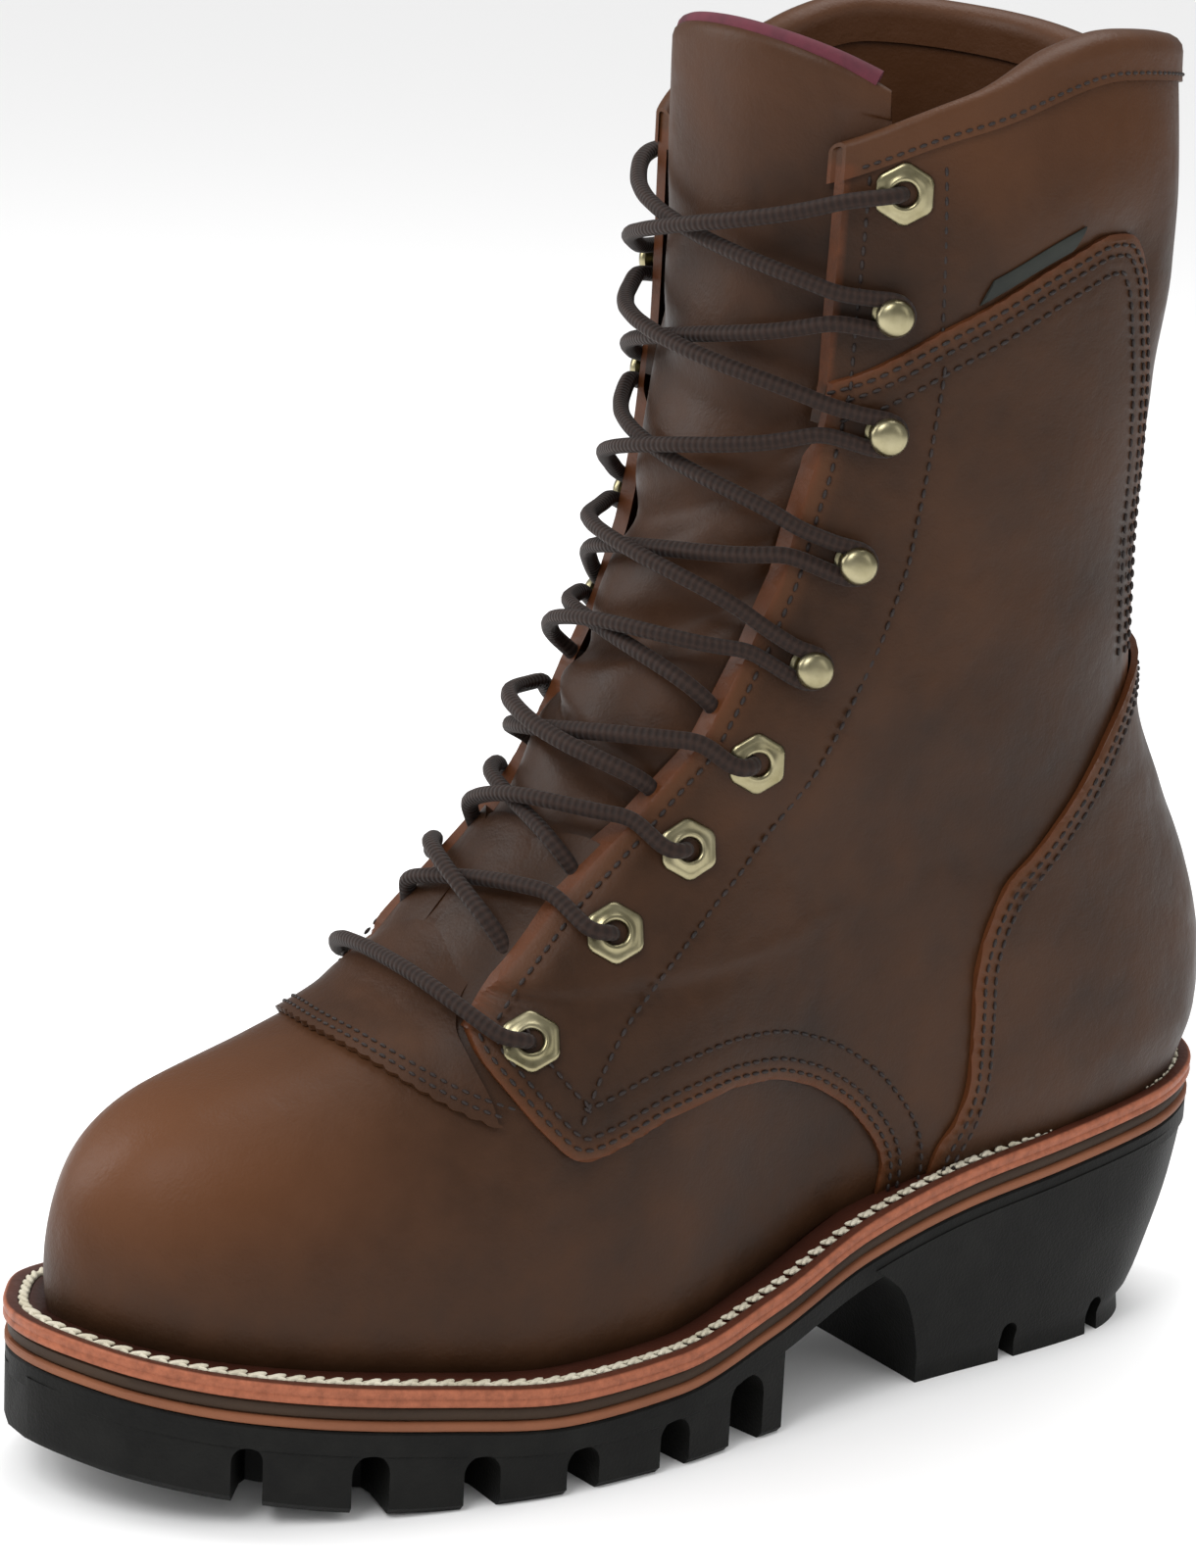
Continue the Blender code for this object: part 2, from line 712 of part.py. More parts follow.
def cut_notch(sole, station, x, lean, width, high, tools):
    """Cut one side notch into the sole, running inwards from the place (x, station)."""
    side = math.copysign(1, x)
    angle = math.radians(lean)
    run = np.array([-side * math.cos(angle), math.sin(angle)])
    cutter = notch_cutter("notch", np.array([x, station * LENGTH]), run, width, NOTCH_REACH, -0.01, high, tools)
    modify(sole, "DIFFERENCE", cutter)
    drop(cutter)


def make_outsole(finish, parts, tools):
    """Rubber sole in one piece with its heel, cut into lugs."""
    stack = WELT + MIDSOLE + SLIP_SOLE + 3 * GAP
    edge = outline(RUBBER_INSET)
    high = top_at(edge) - stack
    sole = place("outsole", slab("outsole", edge, high, high - WEB), finish, parts)
    for name, rings in (("heel_block", heel_rings(stack + WEB / 2)), ("tread_block", tread_rings(stack + WEB / 2))):
        block = place(name, lofted(name, rings), None, tools)
        modify(sole, "UNION", block)
        drop(block)
    for side in (1, -1):
        for station, share, lean in NOTCHES:
            x = side * float(half_width(station, side))
            high = float(welt_top(station)) - stack - WEB * 0.9
            cut_notch(sole, station, x, lean, NOTCH_WIDTH * share, high, tools)
        for station, share in HEEL_NOTCHES:
            cut_notch(sole, station, side * HEEL_WIDTH / 2, 0, NOTCH_WIDTH * share, HEEL_NOTCH_HIGH, tools)
    return sole


def rise():
    """Height of the upper from the welt to the collar's peaks, measured under the shaft."""
    return SHAFT_HEIGHT - rim_base()


def wall_inside(points):
    """Wall thickness inward at points of the form: padded behind the eyestay at the collar."""
    s, z = points[..., 1], points[..., 2]
    up = np.clip((z - PAD_BOTTOM) / PAD_FADE, 0, 1)
    behind = np.clip((PAD_FRONT - s) / PAD_FADE, 0, 1)
    return LEATHER + PAD * up * up * (3 - 2 * up) * behind * behind * (3 - 2 * behind)


def shell(name, levels, out, inward, finish, collection, round_rim=True):
    """Closed wall between the form moved out and the form moved in, along all levels."""
    rings = [ring(level * rise() + 2.5 * GAP, RING_SIDES) for level in levels]
    outside = [skin(points, out + 0 * points[:, 0]) for points in rings]
    inside = [skin(points, -inward(points)) for points in rings]
    top = []
    if round_rim:
        middle = (outside[-1] + inside[-1]) / 2
        thick = np.linalg.norm(outside[-1] - inside[-1], axis=1)
        middle[:, 2] += thick * 0.35
        top = [middle]
    return place(name, ring_wall(name, outside + top + inside[::-1]), finish, collection)


def ring_wall(name, rings):
    """Solid from rings that run round a wall, from the bottom outside to the bottom inside."""
    count, size = len(rings), len(rings[0])
    points = [point for ring_points in rings for point in ring_points]
    faces = []
    for j in range(count):
        k = (j + 1) % count
        for i in range(size):
            n = (i + 1) % size
            faces.append((j * size + i, j * size + n, k * size + n, k * size + i))
    return closed_mesh(name, points, faces)


def throat_cutter(tools):
    """Cutter of the open throat: all that lies in front of the eyestays' edges."""
    line = line_points(THROAT_LINE)
    past = 2 * SHAFT_HEIGHT
    high = line[0][1] + VAMP_LIP
    front = [(line[0][0] + VAMP_LIP / 5, high), (2 * LENGTH, high), (2 * LENGTH, past)]
    return prism("throat_cutter", line[::-1] + front + [(line[-1][0], past)], -SHAFT_WIDTH, SHAFT_WIDTH, tools)


def make_upper(finish, parts, tools):
    """Hollow upper: a wall of vamp and collar with the quarter raised on it."""
    upper = shell("upper", LEVELS, 0.0, wall_inside, finish, parts)
    low = (LEVELS[0] + 0.0016,) + LEVELS[1:-1] + (LEVELS[-1] - 0.002,)
    layer = shell("quarter_layer", low, QUARTER, lambda points: wall_inside(points) / 2, None, tools,
                  round_rim=False)
    edge = line_points(VAMP_EDGE)
    seam = line_points(COLLAR_SEAM)
    back, past = -LEVEL_TURN, 2 * SHAFT_HEIGHT
    region = edge + [(edge[-1][0], past), (seam[0][0], past)] + seam + [(back, seam[-1][1]), (back, 0.0), (edge[0][0], 0.0)]
    cutter = prism("quarter_region", region, -SHAFT_WIDTH, SHAFT_WIDTH, tools)
    modify(layer, "INTERSECT", cutter)
    modify(upper, "UNION", layer)
    drop(cutter)
    drop(layer)
    cutter = throat_cutter(tools)
    modify(upper, "DIFFERENCE", cutter)
    drop(cutter)
    frames = eye_frames(upper)
    for (row, _), frame in frames.items():
        if row not in HOOK_ROWS:
            bpy.ops.mesh.primitive_cylinder_add(vertices=12, radius=EYELET_BARREL / 2 + GAP, depth=0.03)
            cutter = bpy.context.object
            cutter.matrix_world = frame
            bpy.context.view_layer.update()
            modify(upper, "DIFFERENCE", cutter)
            drop(cutter)
    return frames


def eye_frame(face, row, side):
    """Place of an eyelet or hook as a matrix: Z out of the upper, at rest on its face all round."""
    s, z = eye_place(row)
    spot = world(side_point(s, z, side, QUARTER)[0])
    out = world(side_point(s, z, side, QUARTER + 0.01)[0]) - spot
    radius = HOOK_BASE / 2 if row in HOOK_ROWS else EYELET_ACROSS / 2 * EYELET_CORNER
    for _ in range(3):
        out = out / np.linalg.norm(out)
        along = np.array([0, 0, 1]) - out * out[2]
        along /= np.linalg.norm(along)
        across = np.cross(along, out)
        rim = [spot + share * radius * (math.cos(a) * across + math.sin(a) * along)
               for share in (0.65, 1.0) for a in np.linspace(0, 2 * math.pi, 13)[:12]]
        hits = np.array([face.ray_cast(Vector(point + out * 0.01), Vector(-out))[0] for point in rim])
        level = (hits - hits.mean(axis=0)) @ out
        tilt = np.linalg.lstsq(np.stack([(hits - spot) @ across, (hits - spot) @ along], -1), level, rcond=None)[0]
        base, out = out, out - tilt[0] * across - tilt[1] * along
    rest = spot + base * ((hits - spot) @ base).max()
    frame = Matrix((across, along, base)).transposed().to_4x4()
    return Matrix.Translation(rest) @ frame


def eye_frames(upper):
    """Places of all the eyelets and hooks on the uncut upper, by row and side."""
    bm = bmesh.new()
    bm.from_mesh(upper.data)
    face = BVHTree.FromBMesh(bm)
    bm.free()
    return {(row, side): eye_frame(face, row, side) for row in range(len(EYE_ROWS)) for side in (1, -1)}


def make_overlay(name, region, finish, parts, tools):
    """Leather piece over the quarter: a layer between two larger forms, cut by a region."""
    under = QUARTER + OVERLAY_GAP
    layer = shell(name, (OVERLAY_START,) + LEVELS[1:-4], under + COUNTER, lambda points: -under + 0 * points[:, 0],
                  finish, parts, round_rim=False)
    modify(layer, "INTERSECT", region)
    drop(region)
    return layer


def make_counter(finish, parts, tools):
    """Heel counter wrapped round the back of the quarter."""
    edge = line_points(COUNTER_EDGE)
    region = edge + [(-LEVEL_TURN, edge[-1][1]), (-LEVEL_TURN, 0.0), (edge[0][0], 0.0)]
    cutter = prism("counter_region", region, -SHAFT_WIDTH, SHAFT_WIDTH, tools)
    return make_overlay("heel_counter", cutter, finish, parts, tools)


def make_backstay(finish, parts, tools):
    """Strip up the back seam, from the counter to the collar."""
    low, high = COUNTER_EDGE[-1][1] * SHAFT_HEIGHT + GAP, COLLAR_SEAM[-1][1] * SHAFT_HEIGHT - GAP
    reach = COUNTER_EDGE[-1][0] * LENGTH + BACKSTAY_WIDTH
    region = [(reach, low), (reach, high), (-LEVEL_TURN, high), (-LEVEL_TURN, low)]
    cutter = prism("backstay_region", region, -BACKSTAY_WIDTH / 2, BACKSTAY_WIDTH / 2, tools)
    return make_overlay("backstay", cutter, finish, parts, tools)


def make_tongue(finish, parts):
    """Padded tongue behind the throat, from under the vamp to above the collar."""
    sides = np.linspace(-1, 1, 9)
    rings = []
    for up in np.linspace(TONGUE_ROWS[0][0], TONGUE_ROWS[-1][0], 15):
        wide = smooth([row[:2] for row in TONGUE_ROWS], up)
        opening = smooth([(row[0], row[2]) for row in TONGUE_ROWS], up)
        turn = np.radians(sides * float(wide))
        swell = TONGUE_SWELL * np.clip(1 - (turn / np.radians(float(opening))) ** 2, 0, 1)
        front = swell * float(np.clip(up - TONGUE_ROWS[0][0], 0, 1)) - LEATHER - TONGUE_GAP
        thick = TONGUE * (1 - TONGUE_THIN * np.abs(sides) ** 3)
        rings.append(np.concatenate([fan(up + 0 * turn, turn, front), fan(up + 0 * turn, turn, front - thick)[::-1]]))
    top = rings[-1]
    top[:, 2] += TONGUE_TOP - top[:, 2].max() - TONGUE_DIP * np.concatenate([sides, sides[::-1]]) ** 2
    return place("tongue", lofted("tongue", rings), finish, parts)


def make_throat_piece(finish, parts):
    """Thin piece over the front of the tongue, with its pinked edge on the vamp."""
    sides = np.linspace(-1, 1, 9)
    rings = []
    for row in THROAT_PIECE_ROWS:
        turn = np.radians(sides * row[2])
        up = row[0] + row[1] * sides ** 2
        low = THROAT_PIECE_LIFT + 0 * turn
        rings.append(np.concatenate([fan(up, turn, low + THROAT_PIECE), fan(up, turn, low)[::-1]]))
    return place("throat_piece", lofted("throat_piece", rings), finish, parts)


def lace_tube(name, points, tools):
    """Round lace through points (x, s, z), as a closed mesh."""
    data = bpy.data.curves.new(name, "CURVE")
    data.dimensions = "3D"
    data.bevel_depth = LACE / 2
    data.bevel_resolution = 1
    data.use_fill_caps = True
    line = data.splines.new("POLY")
    line.points.add(len(points) - 1)
    for knot, spot in zip(line.points, world(points)):
        knot.co = (*spot, 1)
    curve = bpy.data.objects.new(name, data)
    tools.objects.link(curve)
    bpy.context.view_layer.update()
    mesh = bpy.data.meshes.new_from_object(curve.evaluated_get(bpy.context.evaluated_depsgraph_get()))
    bpy.data.objects.remove(curve)
    bm = bmesh.new()
    bm.from_mesh(mesh)
    bmesh.ops.remove_doubles(bm, verts=bm.verts, dist=0.00002)
    bmesh.ops.recalc_face_normals(bm, faces=bm.faces)
    bm.to_mesh(mesh)
    bm.free()
    return mesh


def strand(row, next_row, side, count=7):
    """Points of a strand from under one eyestay's edge over the tongue to the next row across."""
    low_edge, low_run = along_throat(EYE_ROWS[row][0])
    high_edge, high_run = along_throat(EYE_ROWS[next_row][0])
    inward = np.array([low_run[1], -low_run[0]])
    begin = low_edge + STRAND_START * inward + STRAND_LIFT * low_run
    finish_at = eye_place(next_row)
    toward = high_edge - finish_at
    end = finish_at + toward / np.linalg.norm(toward) * (EYELET_ACROSS / 2 + 0.0012)
    a = side_point(begin[0], begin[1], side, 0.0)[0]
    b = side_point(end[0], end[1], -side, 0.0)[0]
    low, high = LACE_OVER, QUARTER + LACE / 2 + LACE_CLEAR
    share = np.linspace(0, 1, count)
    climb = np.clip((share - 0.45) / 0.40, 0, 1)
    return onto(a + (b - a) * share[:, None], low + (high - low) * climb * climb * (3 - 2 * climb))


def make_laces(finish, parts, tools):
    """Bar between the lowest eyelets and a joined cross above each row but the last."""
    made = []
    low = eye_place(0)
    edge, run = along_throat(EYE_ROWS[0][0])
    toward = edge - low
    end = low + toward / np.linalg.norm(toward) * (EYELET_ACROSS / 2 + 0.0012)
    ends = [side_point(end[0], end[1], side, 0.0)[0] for side in (1, -1)]
    high = QUARTER + LACE / 2 + LACE_CLEAR * 2.5
    share = np.linspace(0, 1, 9)
    points = onto(ends[0] + (ends[1] - ends[0]) * share[:, None], high + 0 * share)
    made.append(place("lace_bar", lace_tube("lace_bar", points, tools), finish, parts))
    for row in range(len(EYE_ROWS) - 1):
        name = f"lace_cross_{row + 1}"
        cross = place(name, lace_tube(name, strand(row, row + 1, 1), tools), finish, parts)
        other = place("strand", lace_tube("strand", strand(row, row + 1, -1), tools), None, tools)
        modify(cross, "UNION", other)
        drop(other)
        made.append(cross)
    return made


def eyelet_mesh(name):
    """Hexagon flange on a round barrel, open through the middle; Z points out of the boot."""
    turn = 2 * math.pi * np.arange(12) / 12
    sides = len(turn)
    hexagon = EYELET_ACROSS / 2 / np.cos((turn + math.pi / 6) % (math.pi / 3) - math.pi / 6)
    bore, barrel = EYELET_BORE / 2, EYELET_BARREL / 2
    depth = QUARTER + LEATHER + GAP
    rows = ((bore, -depth), (bore, GAP + FLANGE * 1.2), (hexagon - 0.0007, GAP + FLANGE), (hexagon, GAP),
            (barrel, GAP), (barrel, -depth))
    bm = bmesh.new()
    rings = []
    for radius, high in rows:
        radius = radius + 0 * turn
        rings.append([bm.verts.new((r * math.cos(a), r * math.sin(a), high)) for r, a in zip(radius, turn)])
    for low_ring, high_ring in zip(rings, rings[1:] + rings[:1]):
        for i in range(sides):
            n = (i + 1) % sides
            bm.faces.new((low_ring[i], low_ring[n], high_ring[n], high_ring[i]))
    bmesh.ops.recalc_face_normals(bm, faces=bm.faces)
    mesh = bpy.data.meshes.new(name)
    bm.to_mesh(mesh)
    bm.free()
    return mesh


def hook_mesh(name):
    """Stud hook: a base ring, a neck and a domed head, turned about Z."""
    sides = 8
    head, base, neck = HOOK_HEAD / 2, HOOK_BASE / 2, HOOK_HEAD * 0.22
    top = HOOK_REACH
    rows = ((base, GAP), (base, GAP + 0.0009), (neck, GAP + 0.0014), (neck, top - 0.0030), (head, top - 0.0022),
            (head * 0.86, top - 0.0007))
    bm = bmesh.new()
    rings = []
    for radius, high in rows:
        rings.append([bm.verts.new((radius * math.cos(2 * math.pi * i / sides),
                                    radius * math.sin(2 * math.pi * i / sides), high)) for i in range(sides)])
    for low_ring, high_ring in zip(rings, rings[1:]):
        for i in range(sides):
            n = (i + 1) % sides
            bm.faces.new((low_ring[i], low_ring[n], high_ring[n], high_ring[i]))
    crown = bm.verts.new((0, 0, top))
    for i in range(sides):
        bm.faces.new((rings[-1][i], rings[-1][(i + 1) % sides], crown))
    bm.faces.new(list(reversed(rings[0])))
    bmesh.ops.recalc_face_normals(bm, faces=bm.faces)
    mesh = bpy.data.meshes.new(name)
    bm.to_mesh(mesh)
    bm.free()
    return mesh


def make_fittings(frames, finish, parts):
    """Eyelets and hooks up both eyestays."""
    for (row, side), frame in frames.items():
        kind, mesh = ("hook", hook_mesh) if row in HOOK_ROWS else ("eyelet", eyelet_mesh)
        name = f"{kind}_{'outer' if side > 0 else 'inner'}_{row + 1}"
        place(name, mesh(name), finish, parts).matrix_world = frame


def centre(parts):
    """Move every piece so that the middle of the boot's box is over the origin."""
    bpy.context.view_layer.update()
    corners = np.array([item.matrix_world @ corner.co for item in parts.objects for corner in item.data.vertices])
    middle = (corners.min(axis=0) + corners.max(axis=0)) / 2
    for item in parts.objects:
        item.matrix_world = Matrix.Translation((-middle[0], -middle[1], 0)) @ item.matrix_world


def main():
    """Clear the scene and build the boot."""
    for item in list(bpy.data.objects):
        bpy.data.objects.remove(item)
    parts = bpy.data.collections.new("logger_boot")
    tools = bpy.data.collections.new("cutters")
    for collection in (parts, tools):
        bpy.context.scene.collection.children.link(collection)
    leather = material("brown_leather", (0.085, 0.045, 0.025), 0.50)
    dark = material("dark_leather", (0.060, 0.030, 0.018), 0.55)
    welt = material("welt_leather", (0.210, 0.080, 0.040), 0.45)
    middle = material("midsole_leather", (0.060, 0.045, 0.035), 0.6)
    tan = material("slip_leather", (0.250, 0.110, 0.060), 0.6)
    rubber = material("black_rubber", (0.018, 0.018, 0.017), 0.55)
    brass = material("antique_brass", (0.55, 0.48, 0.32), 0.35, 1.0)
    cord = material("lace_cord", (0.045, 0.028, 0.020), 0.8)
    make_outsole(rubber, parts, tools)
    under = WELT + GAP
    make_layer("midsole", 0.0010, under, MIDSOLE, middle, parts)
    make_layer("slip_sole", 0.0004, under + MIDSOLE + GAP, SLIP_SOLE, tan, parts)
    make_welt(welt, parts)
    make_insole(dark, parts)
    frames = make_upper(leather, parts, tools)
    make_counter(leather, parts, tools)
    make_backstay(leather, parts, tools)
    make_tongue(leather, parts)
    make_throat_piece(leather, parts)
    make_laces(cord, parts, tools)
    make_fittings(frames, brass, parts)
    centre(parts)
    for item in parts.objects:
        item.data.shade_smooth()
        item.data.set_sharp_from_angle(angle=math.radians(35))


main()
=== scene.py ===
# %% [markdown]
# # A logger boot, dressed
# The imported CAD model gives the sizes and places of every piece. This script dresses it: each leather panel,
# the sole, the lacing and the brass are modelled again in fine detail over the plain solids, and each gets a
# procedural finish. It reads nothing but the frame, and it runs from top to bottom in about a minute.

# %% Load the frame
import math

import bmesh
import bpy
import numpy as np
from mathutils import Matrix, Vector
from mathutils.bvhtree import BVHTree

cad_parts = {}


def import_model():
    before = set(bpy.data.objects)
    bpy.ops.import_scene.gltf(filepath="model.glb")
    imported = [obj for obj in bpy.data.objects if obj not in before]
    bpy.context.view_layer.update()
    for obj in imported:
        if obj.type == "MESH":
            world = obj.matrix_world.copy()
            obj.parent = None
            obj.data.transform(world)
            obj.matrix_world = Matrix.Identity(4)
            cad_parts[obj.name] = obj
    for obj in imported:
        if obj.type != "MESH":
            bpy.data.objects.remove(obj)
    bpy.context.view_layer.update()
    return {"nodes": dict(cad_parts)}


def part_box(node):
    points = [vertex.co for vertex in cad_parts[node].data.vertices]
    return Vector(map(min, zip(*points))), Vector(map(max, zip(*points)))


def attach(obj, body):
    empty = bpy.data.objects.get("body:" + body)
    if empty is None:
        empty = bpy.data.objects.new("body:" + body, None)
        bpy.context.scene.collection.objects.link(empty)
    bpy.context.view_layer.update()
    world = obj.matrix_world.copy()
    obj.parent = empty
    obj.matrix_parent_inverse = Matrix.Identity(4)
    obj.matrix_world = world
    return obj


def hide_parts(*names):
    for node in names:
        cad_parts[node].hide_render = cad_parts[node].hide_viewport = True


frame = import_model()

# %% [markdown]
# ## The last
# A shoemaker stretches the upper over a last. Here the last is a function: for any point it says how far, about,
# the point lies outside the leather. Two forms run into each other, a foot with the sole's outline and a shaft of
# ovals. Short tables hold shares of a few real sizes, in metres, and a smooth curve runs through each table. A
# subdivided cage would also do, but a function lets every panel, seam and stitch find its exact place.

# %% Sizes of the boot
LENGTH = 0.315             # of the sole
BALL_WIDTH = 0.1090
HEEL_WIDTH = 0.0765
HEEL_HEIGHT = 0.0650       # floor to the welt's top at the back
FOREFOOT_HEIGHT = 0.0262   # the same under the ball
TOE_SPRING = 0.0150
WELT = 0.0042
WELT_MARGIN = 0.0085       # how far the welt stands out from the upper
TOE_HEIGHT = 0.0565
VAMP_HEIGHT = 0.0770
SHAFT_HEIGHT = 0.313
SHAFT_DEPTH = 0.124
SHAFT_WIDTH = 0.104
ANKLE_WIDTH = 0.080
BLEND = 0.016              # rounding between foot and shaft
LEVEL_TURN = 0.120         # levels follow the welt up to here, and turn flat above
LEATHER = 0.0024
QUARTER = 0.0018           # quarter over the vamp
COUNTER = 0.0018           # counter over the quarter
GAP = 0.0003
SKIN = 0.00005             # hair's breadth that keeps one layer off the next
THREAD_LIFT = 0.00010      # height of a row's middle over the leather
GROOVE_WIDE, GROOVE_DEEP = 0.0007, 0.00022
BEHIND, ABOVE, BESIDE = -0.03, 0.40, 0.09      # places past the boot's back, top and sides, for cutting
WALL_POWER, CROWN_POWER, FOOT_POWER, SHAFT_POWER = 2.6, 2.4, 2.5, 2.25
TUCK, TUCK_HIGH = 0.0022, 0.014                # how far the foot draws in over the welt, and up to where
ANKLE_PLACE = 0.085        # place inside the ankle that the levels start from

# %% Tables of shares
HEEL_ROWS = (              # station, outer, inner
    (0.000, 0.000, 0.000),
    (0.038, 0.320, 0.330),
    (0.095, 0.440, 0.450),
    (0.190, 0.500, 0.500),
    (0.286, 0.535, 0.478),
)
BALL_ROWS = (
    (0.381, 0.408, 0.328),
    (0.476, 0.462, 0.345),
    (0.571, 0.518, 0.408),
    (0.660, 0.533, 0.462),
    (0.746, 0.502, 0.476),
    (0.825, 0.453, 0.446),
    (0.905, 0.364, 0.365),
    (0.952, 0.274, 0.275),
    (0.984, 0.152, 0.142),
    (1.000, 0.000, 0.000),
)
RISE_ROWS = (              # station, heel rise, toe spring
    (0.000, 1.00, 0.00),
    (0.095, 0.90, 0.00),
    (0.190, 0.79, 0.00),
    (0.286, 0.68, 0.00),
    (0.381, 0.50, 0.00),
    (0.476, 0.22, 0.00),
    (0.571, 0.04, 0.00),
    (0.667, 0.00, 0.02),
    (0.762, 0.00, 0.21),
    (0.889, 0.00, 0.54),
    (1.000, 0.00, 1.00),
)
TOE_RIDGE = (              # station of the upper, share of the toe's height
    (1.000, 0.00),
    (0.990, 0.43),
    (0.968, 0.64),
    (0.935, 0.815),
    (0.908, 0.905),
    (0.885, 0.96),
    (0.850, 1.035),
    (0.810, 1.125),
)
VAMP_RIDGE = (
    (0.747, 0.955),
    (0.690, 1.19),
    (0.630, 1.43),
    (0.560, 1.71),
    (0.480, 1.85),
    (0.300, 1.10),
    (0.150, 0.74),
    (0.040, 0.50),
    (0.000, 0.30),
)
ANKLE_ROWS = (             # height, back, front, width
    (0.155, 0.072, 1.05, 0.76),
    (0.210, 0.058, 1.10, 0.82),
    (0.255, 0.030, 1.16, 0.88),
    (0.300, 0.040, 1.22, 0.92),
    (0.364, 0.098, 1.28, 0.96),
    (0.428, 0.178, 1.34, 1.00),
)
COLLAR_ROWS = (
    (0.504, 0.268, 1.400, 0.84),
    (0.580, 0.287, 1.340, 0.88),
    (0.650, 0.300, 1.295, 0.91),
    (0.748, 0.290, 1.262, 0.95),
    (0.832, 0.303, 1.245, 0.99),
    (0.900, 0.296, 1.243, 1.01),
    (1.020, 0.305, 1.245, 1.00),
)
RIM_ROWS = (               # turn from the front, drop
    (0.00, 0.085),
    (0.20, 0.083),
    (0.40, 0.040),
    (0.58, 0.003),
    (0.75, 0.010),
    (1.00, 0.030),
)
SPINE_ROWS = (             # place, share of the length, share of the height, slope of its rays
    (0, 0.730, 0.160, 68),
    (1, 0.640, 0.190, 58),
    (2, 0.520, 0.280, 44),
    (3, 0.420, 0.400, 30),
    (4, 0.340, 0.540, 14),
    (5, 0.300, 0.700, 5),
    (6, 0.300, 0.860, 1),
    (7, 0.300, 1.030, 0),
)


# %% Curves through tables
def smooth(rows, place):
    """Value at a place on a smooth curve through rows of (place, value), with no overshoot."""
    places, values = np.array(sorted(rows), float).T
    step = np.diff(places)
    slope = np.diff(values) / step
    bend = slope[:-1] * slope[1:]
    inner = np.where(bend > 0, 2 * bend / np.where(bend > 0, slope[:-1] + slope[1:], 1), 0)
    tangent = np.concatenate([slope[:1], inner, slope[-1:]])
    place = np.clip(place, places[0], places[-1])
    i = np.clip(np.searchsorted(places, place, side="right") - 1, 0, len(step) - 1)
    t = (place - places[i]) / step[i]
    return ((2 * t ** 3 - 3 * t ** 2 + 1) * values[i] + (t ** 3 - 2 * t ** 2 + t) * step[i] * tangent[i]
            + (3 * t ** 2 - 2 * t ** 3) * values[i + 1] + (t ** 3 - t ** 2) * step[i] * tangent[i + 1])


def table(rows, index, scale=1.0):
    """Rows of (place, value) from one column of a table."""
    return [(row[0], row[index] * scale) for row in rows]


def ease(value, low, high):
    """0 below low, 1 above high, and a soft step between them."""
    t = np.clip((value - low) / (high - low), 0, 1)
    return t * t * (3 - 2 * t)


def around(station):
    """Angle on a half turn that spreads the stations near heel and toe."""
    return np.arccos(1 - 2 * np.clip(station, 0, 1))


# %% The sole's outline and the last's forms
def half_width(station, side):
    """Half width of the welt at a station; side is 1 outside and -1 inside."""
    halves = []
    for column in (1, 2):
        rows = table(HEEL_ROWS, column, HEEL_WIDTH) + table(BALL_ROWS, column, BALL_WIDTH)
        halves.append(smooth([(around(place), value) for place, value in rows], around(station)))
    return np.where(np.asarray(side) > 0, halves[0], halves[1])


def welt_top(station):
    """Height of the welt's top over the floor."""
    heel, toe = [smooth(table(RISE_ROWS, index), station) for index in (1, 2)]
    return FOREFOOT_HEIGHT + (HEEL_HEIGHT - FOREFOOT_HEIGHT) * heel + TOE_SPRING * toe


def welt_at(s):
    """Height of the welt's top at a distance s forwards from the back of the boot."""
    return welt_top(s / LENGTH)


def foot_form(x, s, z):
    """Distance, about, outside the foot part of the last; s runs forwards from the back of the boot."""
    station = (s - WELT_MARGIN) / (LENGTH - 2 * WELT_MARGIN)
    inside = np.clip(station, 0, 1)
    heel, ball = HEEL_WIDTH / 2, BALL_WIDTH / 2
    share = 1 - WELT_MARGIN / smooth([(0, heel), (0.35, heel), (0.6, ball), (1, ball)], inside)
    half = half_width(inside, np.sign(x)) * share
    ridge = table(TOE_RIDGE, 1, TOE_HEIGHT) + table(VAMP_RIDGE, 1, VAMP_HEIGHT)
    high = smooth([(around(place), value) for place, value in ridge], around(inside))
    over = z - welt_at(s)
    tuck = TUCK * np.clip(1 - over / TUCK_HIGH, 0, 1) ** 2
    across = np.abs(x) / np.maximum(half - tuck, 1e-4)
    up = np.maximum(over, 0) / np.maximum(high, 1e-4)
    size = np.clip(np.minimum(half, high), 0.020, 0.030)
    d = ((across ** WALL_POWER + up ** CROWN_POWER) ** (1 / FOOT_POWER) - 1) * size
    out = np.maximum(-station, station - 1) * LENGTH
    return np.where(out > 0, np.maximum(d, out), d)


def shaft_form(x, s, z):
    """Distance, about, outside the shaft of the last."""
    high = z / SHAFT_HEIGHT
    rows = ANKLE_ROWS + COLLAR_ROWS
    back, front = [smooth(table(rows, index, SHAFT_DEPTH), high) for index in (1, 2)]
    wide = smooth(table(ANKLE_ROWS, 3, ANKLE_WIDTH) + table(COLLAR_ROWS, 3, SHAFT_WIDTH), high)
    along = (s - (back + front) / 2) / ((front - back) / 2)
    across = x / (wide / 2)
    total = np.abs(along) ** SHAFT_POWER + np.abs(across) ** SHAFT_POWER
    return (total ** (1 / SHAFT_POWER) - 1) * wide / 2


def form(x, s, z):
    """Distance, about, outside the vamp's face: foot and shaft run into each other."""
    a, b = foot_form(x, s, z), shaft_form(x, s, z)
    h = np.maximum(BLEND - np.abs(a - b), 0) / BLEND
    return np.minimum(a, b) - h * h * BLEND / 4


# %% Finding points on the last
def root(value, low, high, steps=26):
    """Where value(r), below zero at low and above it at high, crosses zero."""
    low, high = low + 0 * value(low), high + 0 * value(low)
    for _ in range(steps):
        middle = (low + high) / 2
        inside = value(middle) < 0
        low, high = np.where(inside, middle, low), np.where(inside, high, middle)
    return (low + high) / 2


FORM_STEP = 0.0006


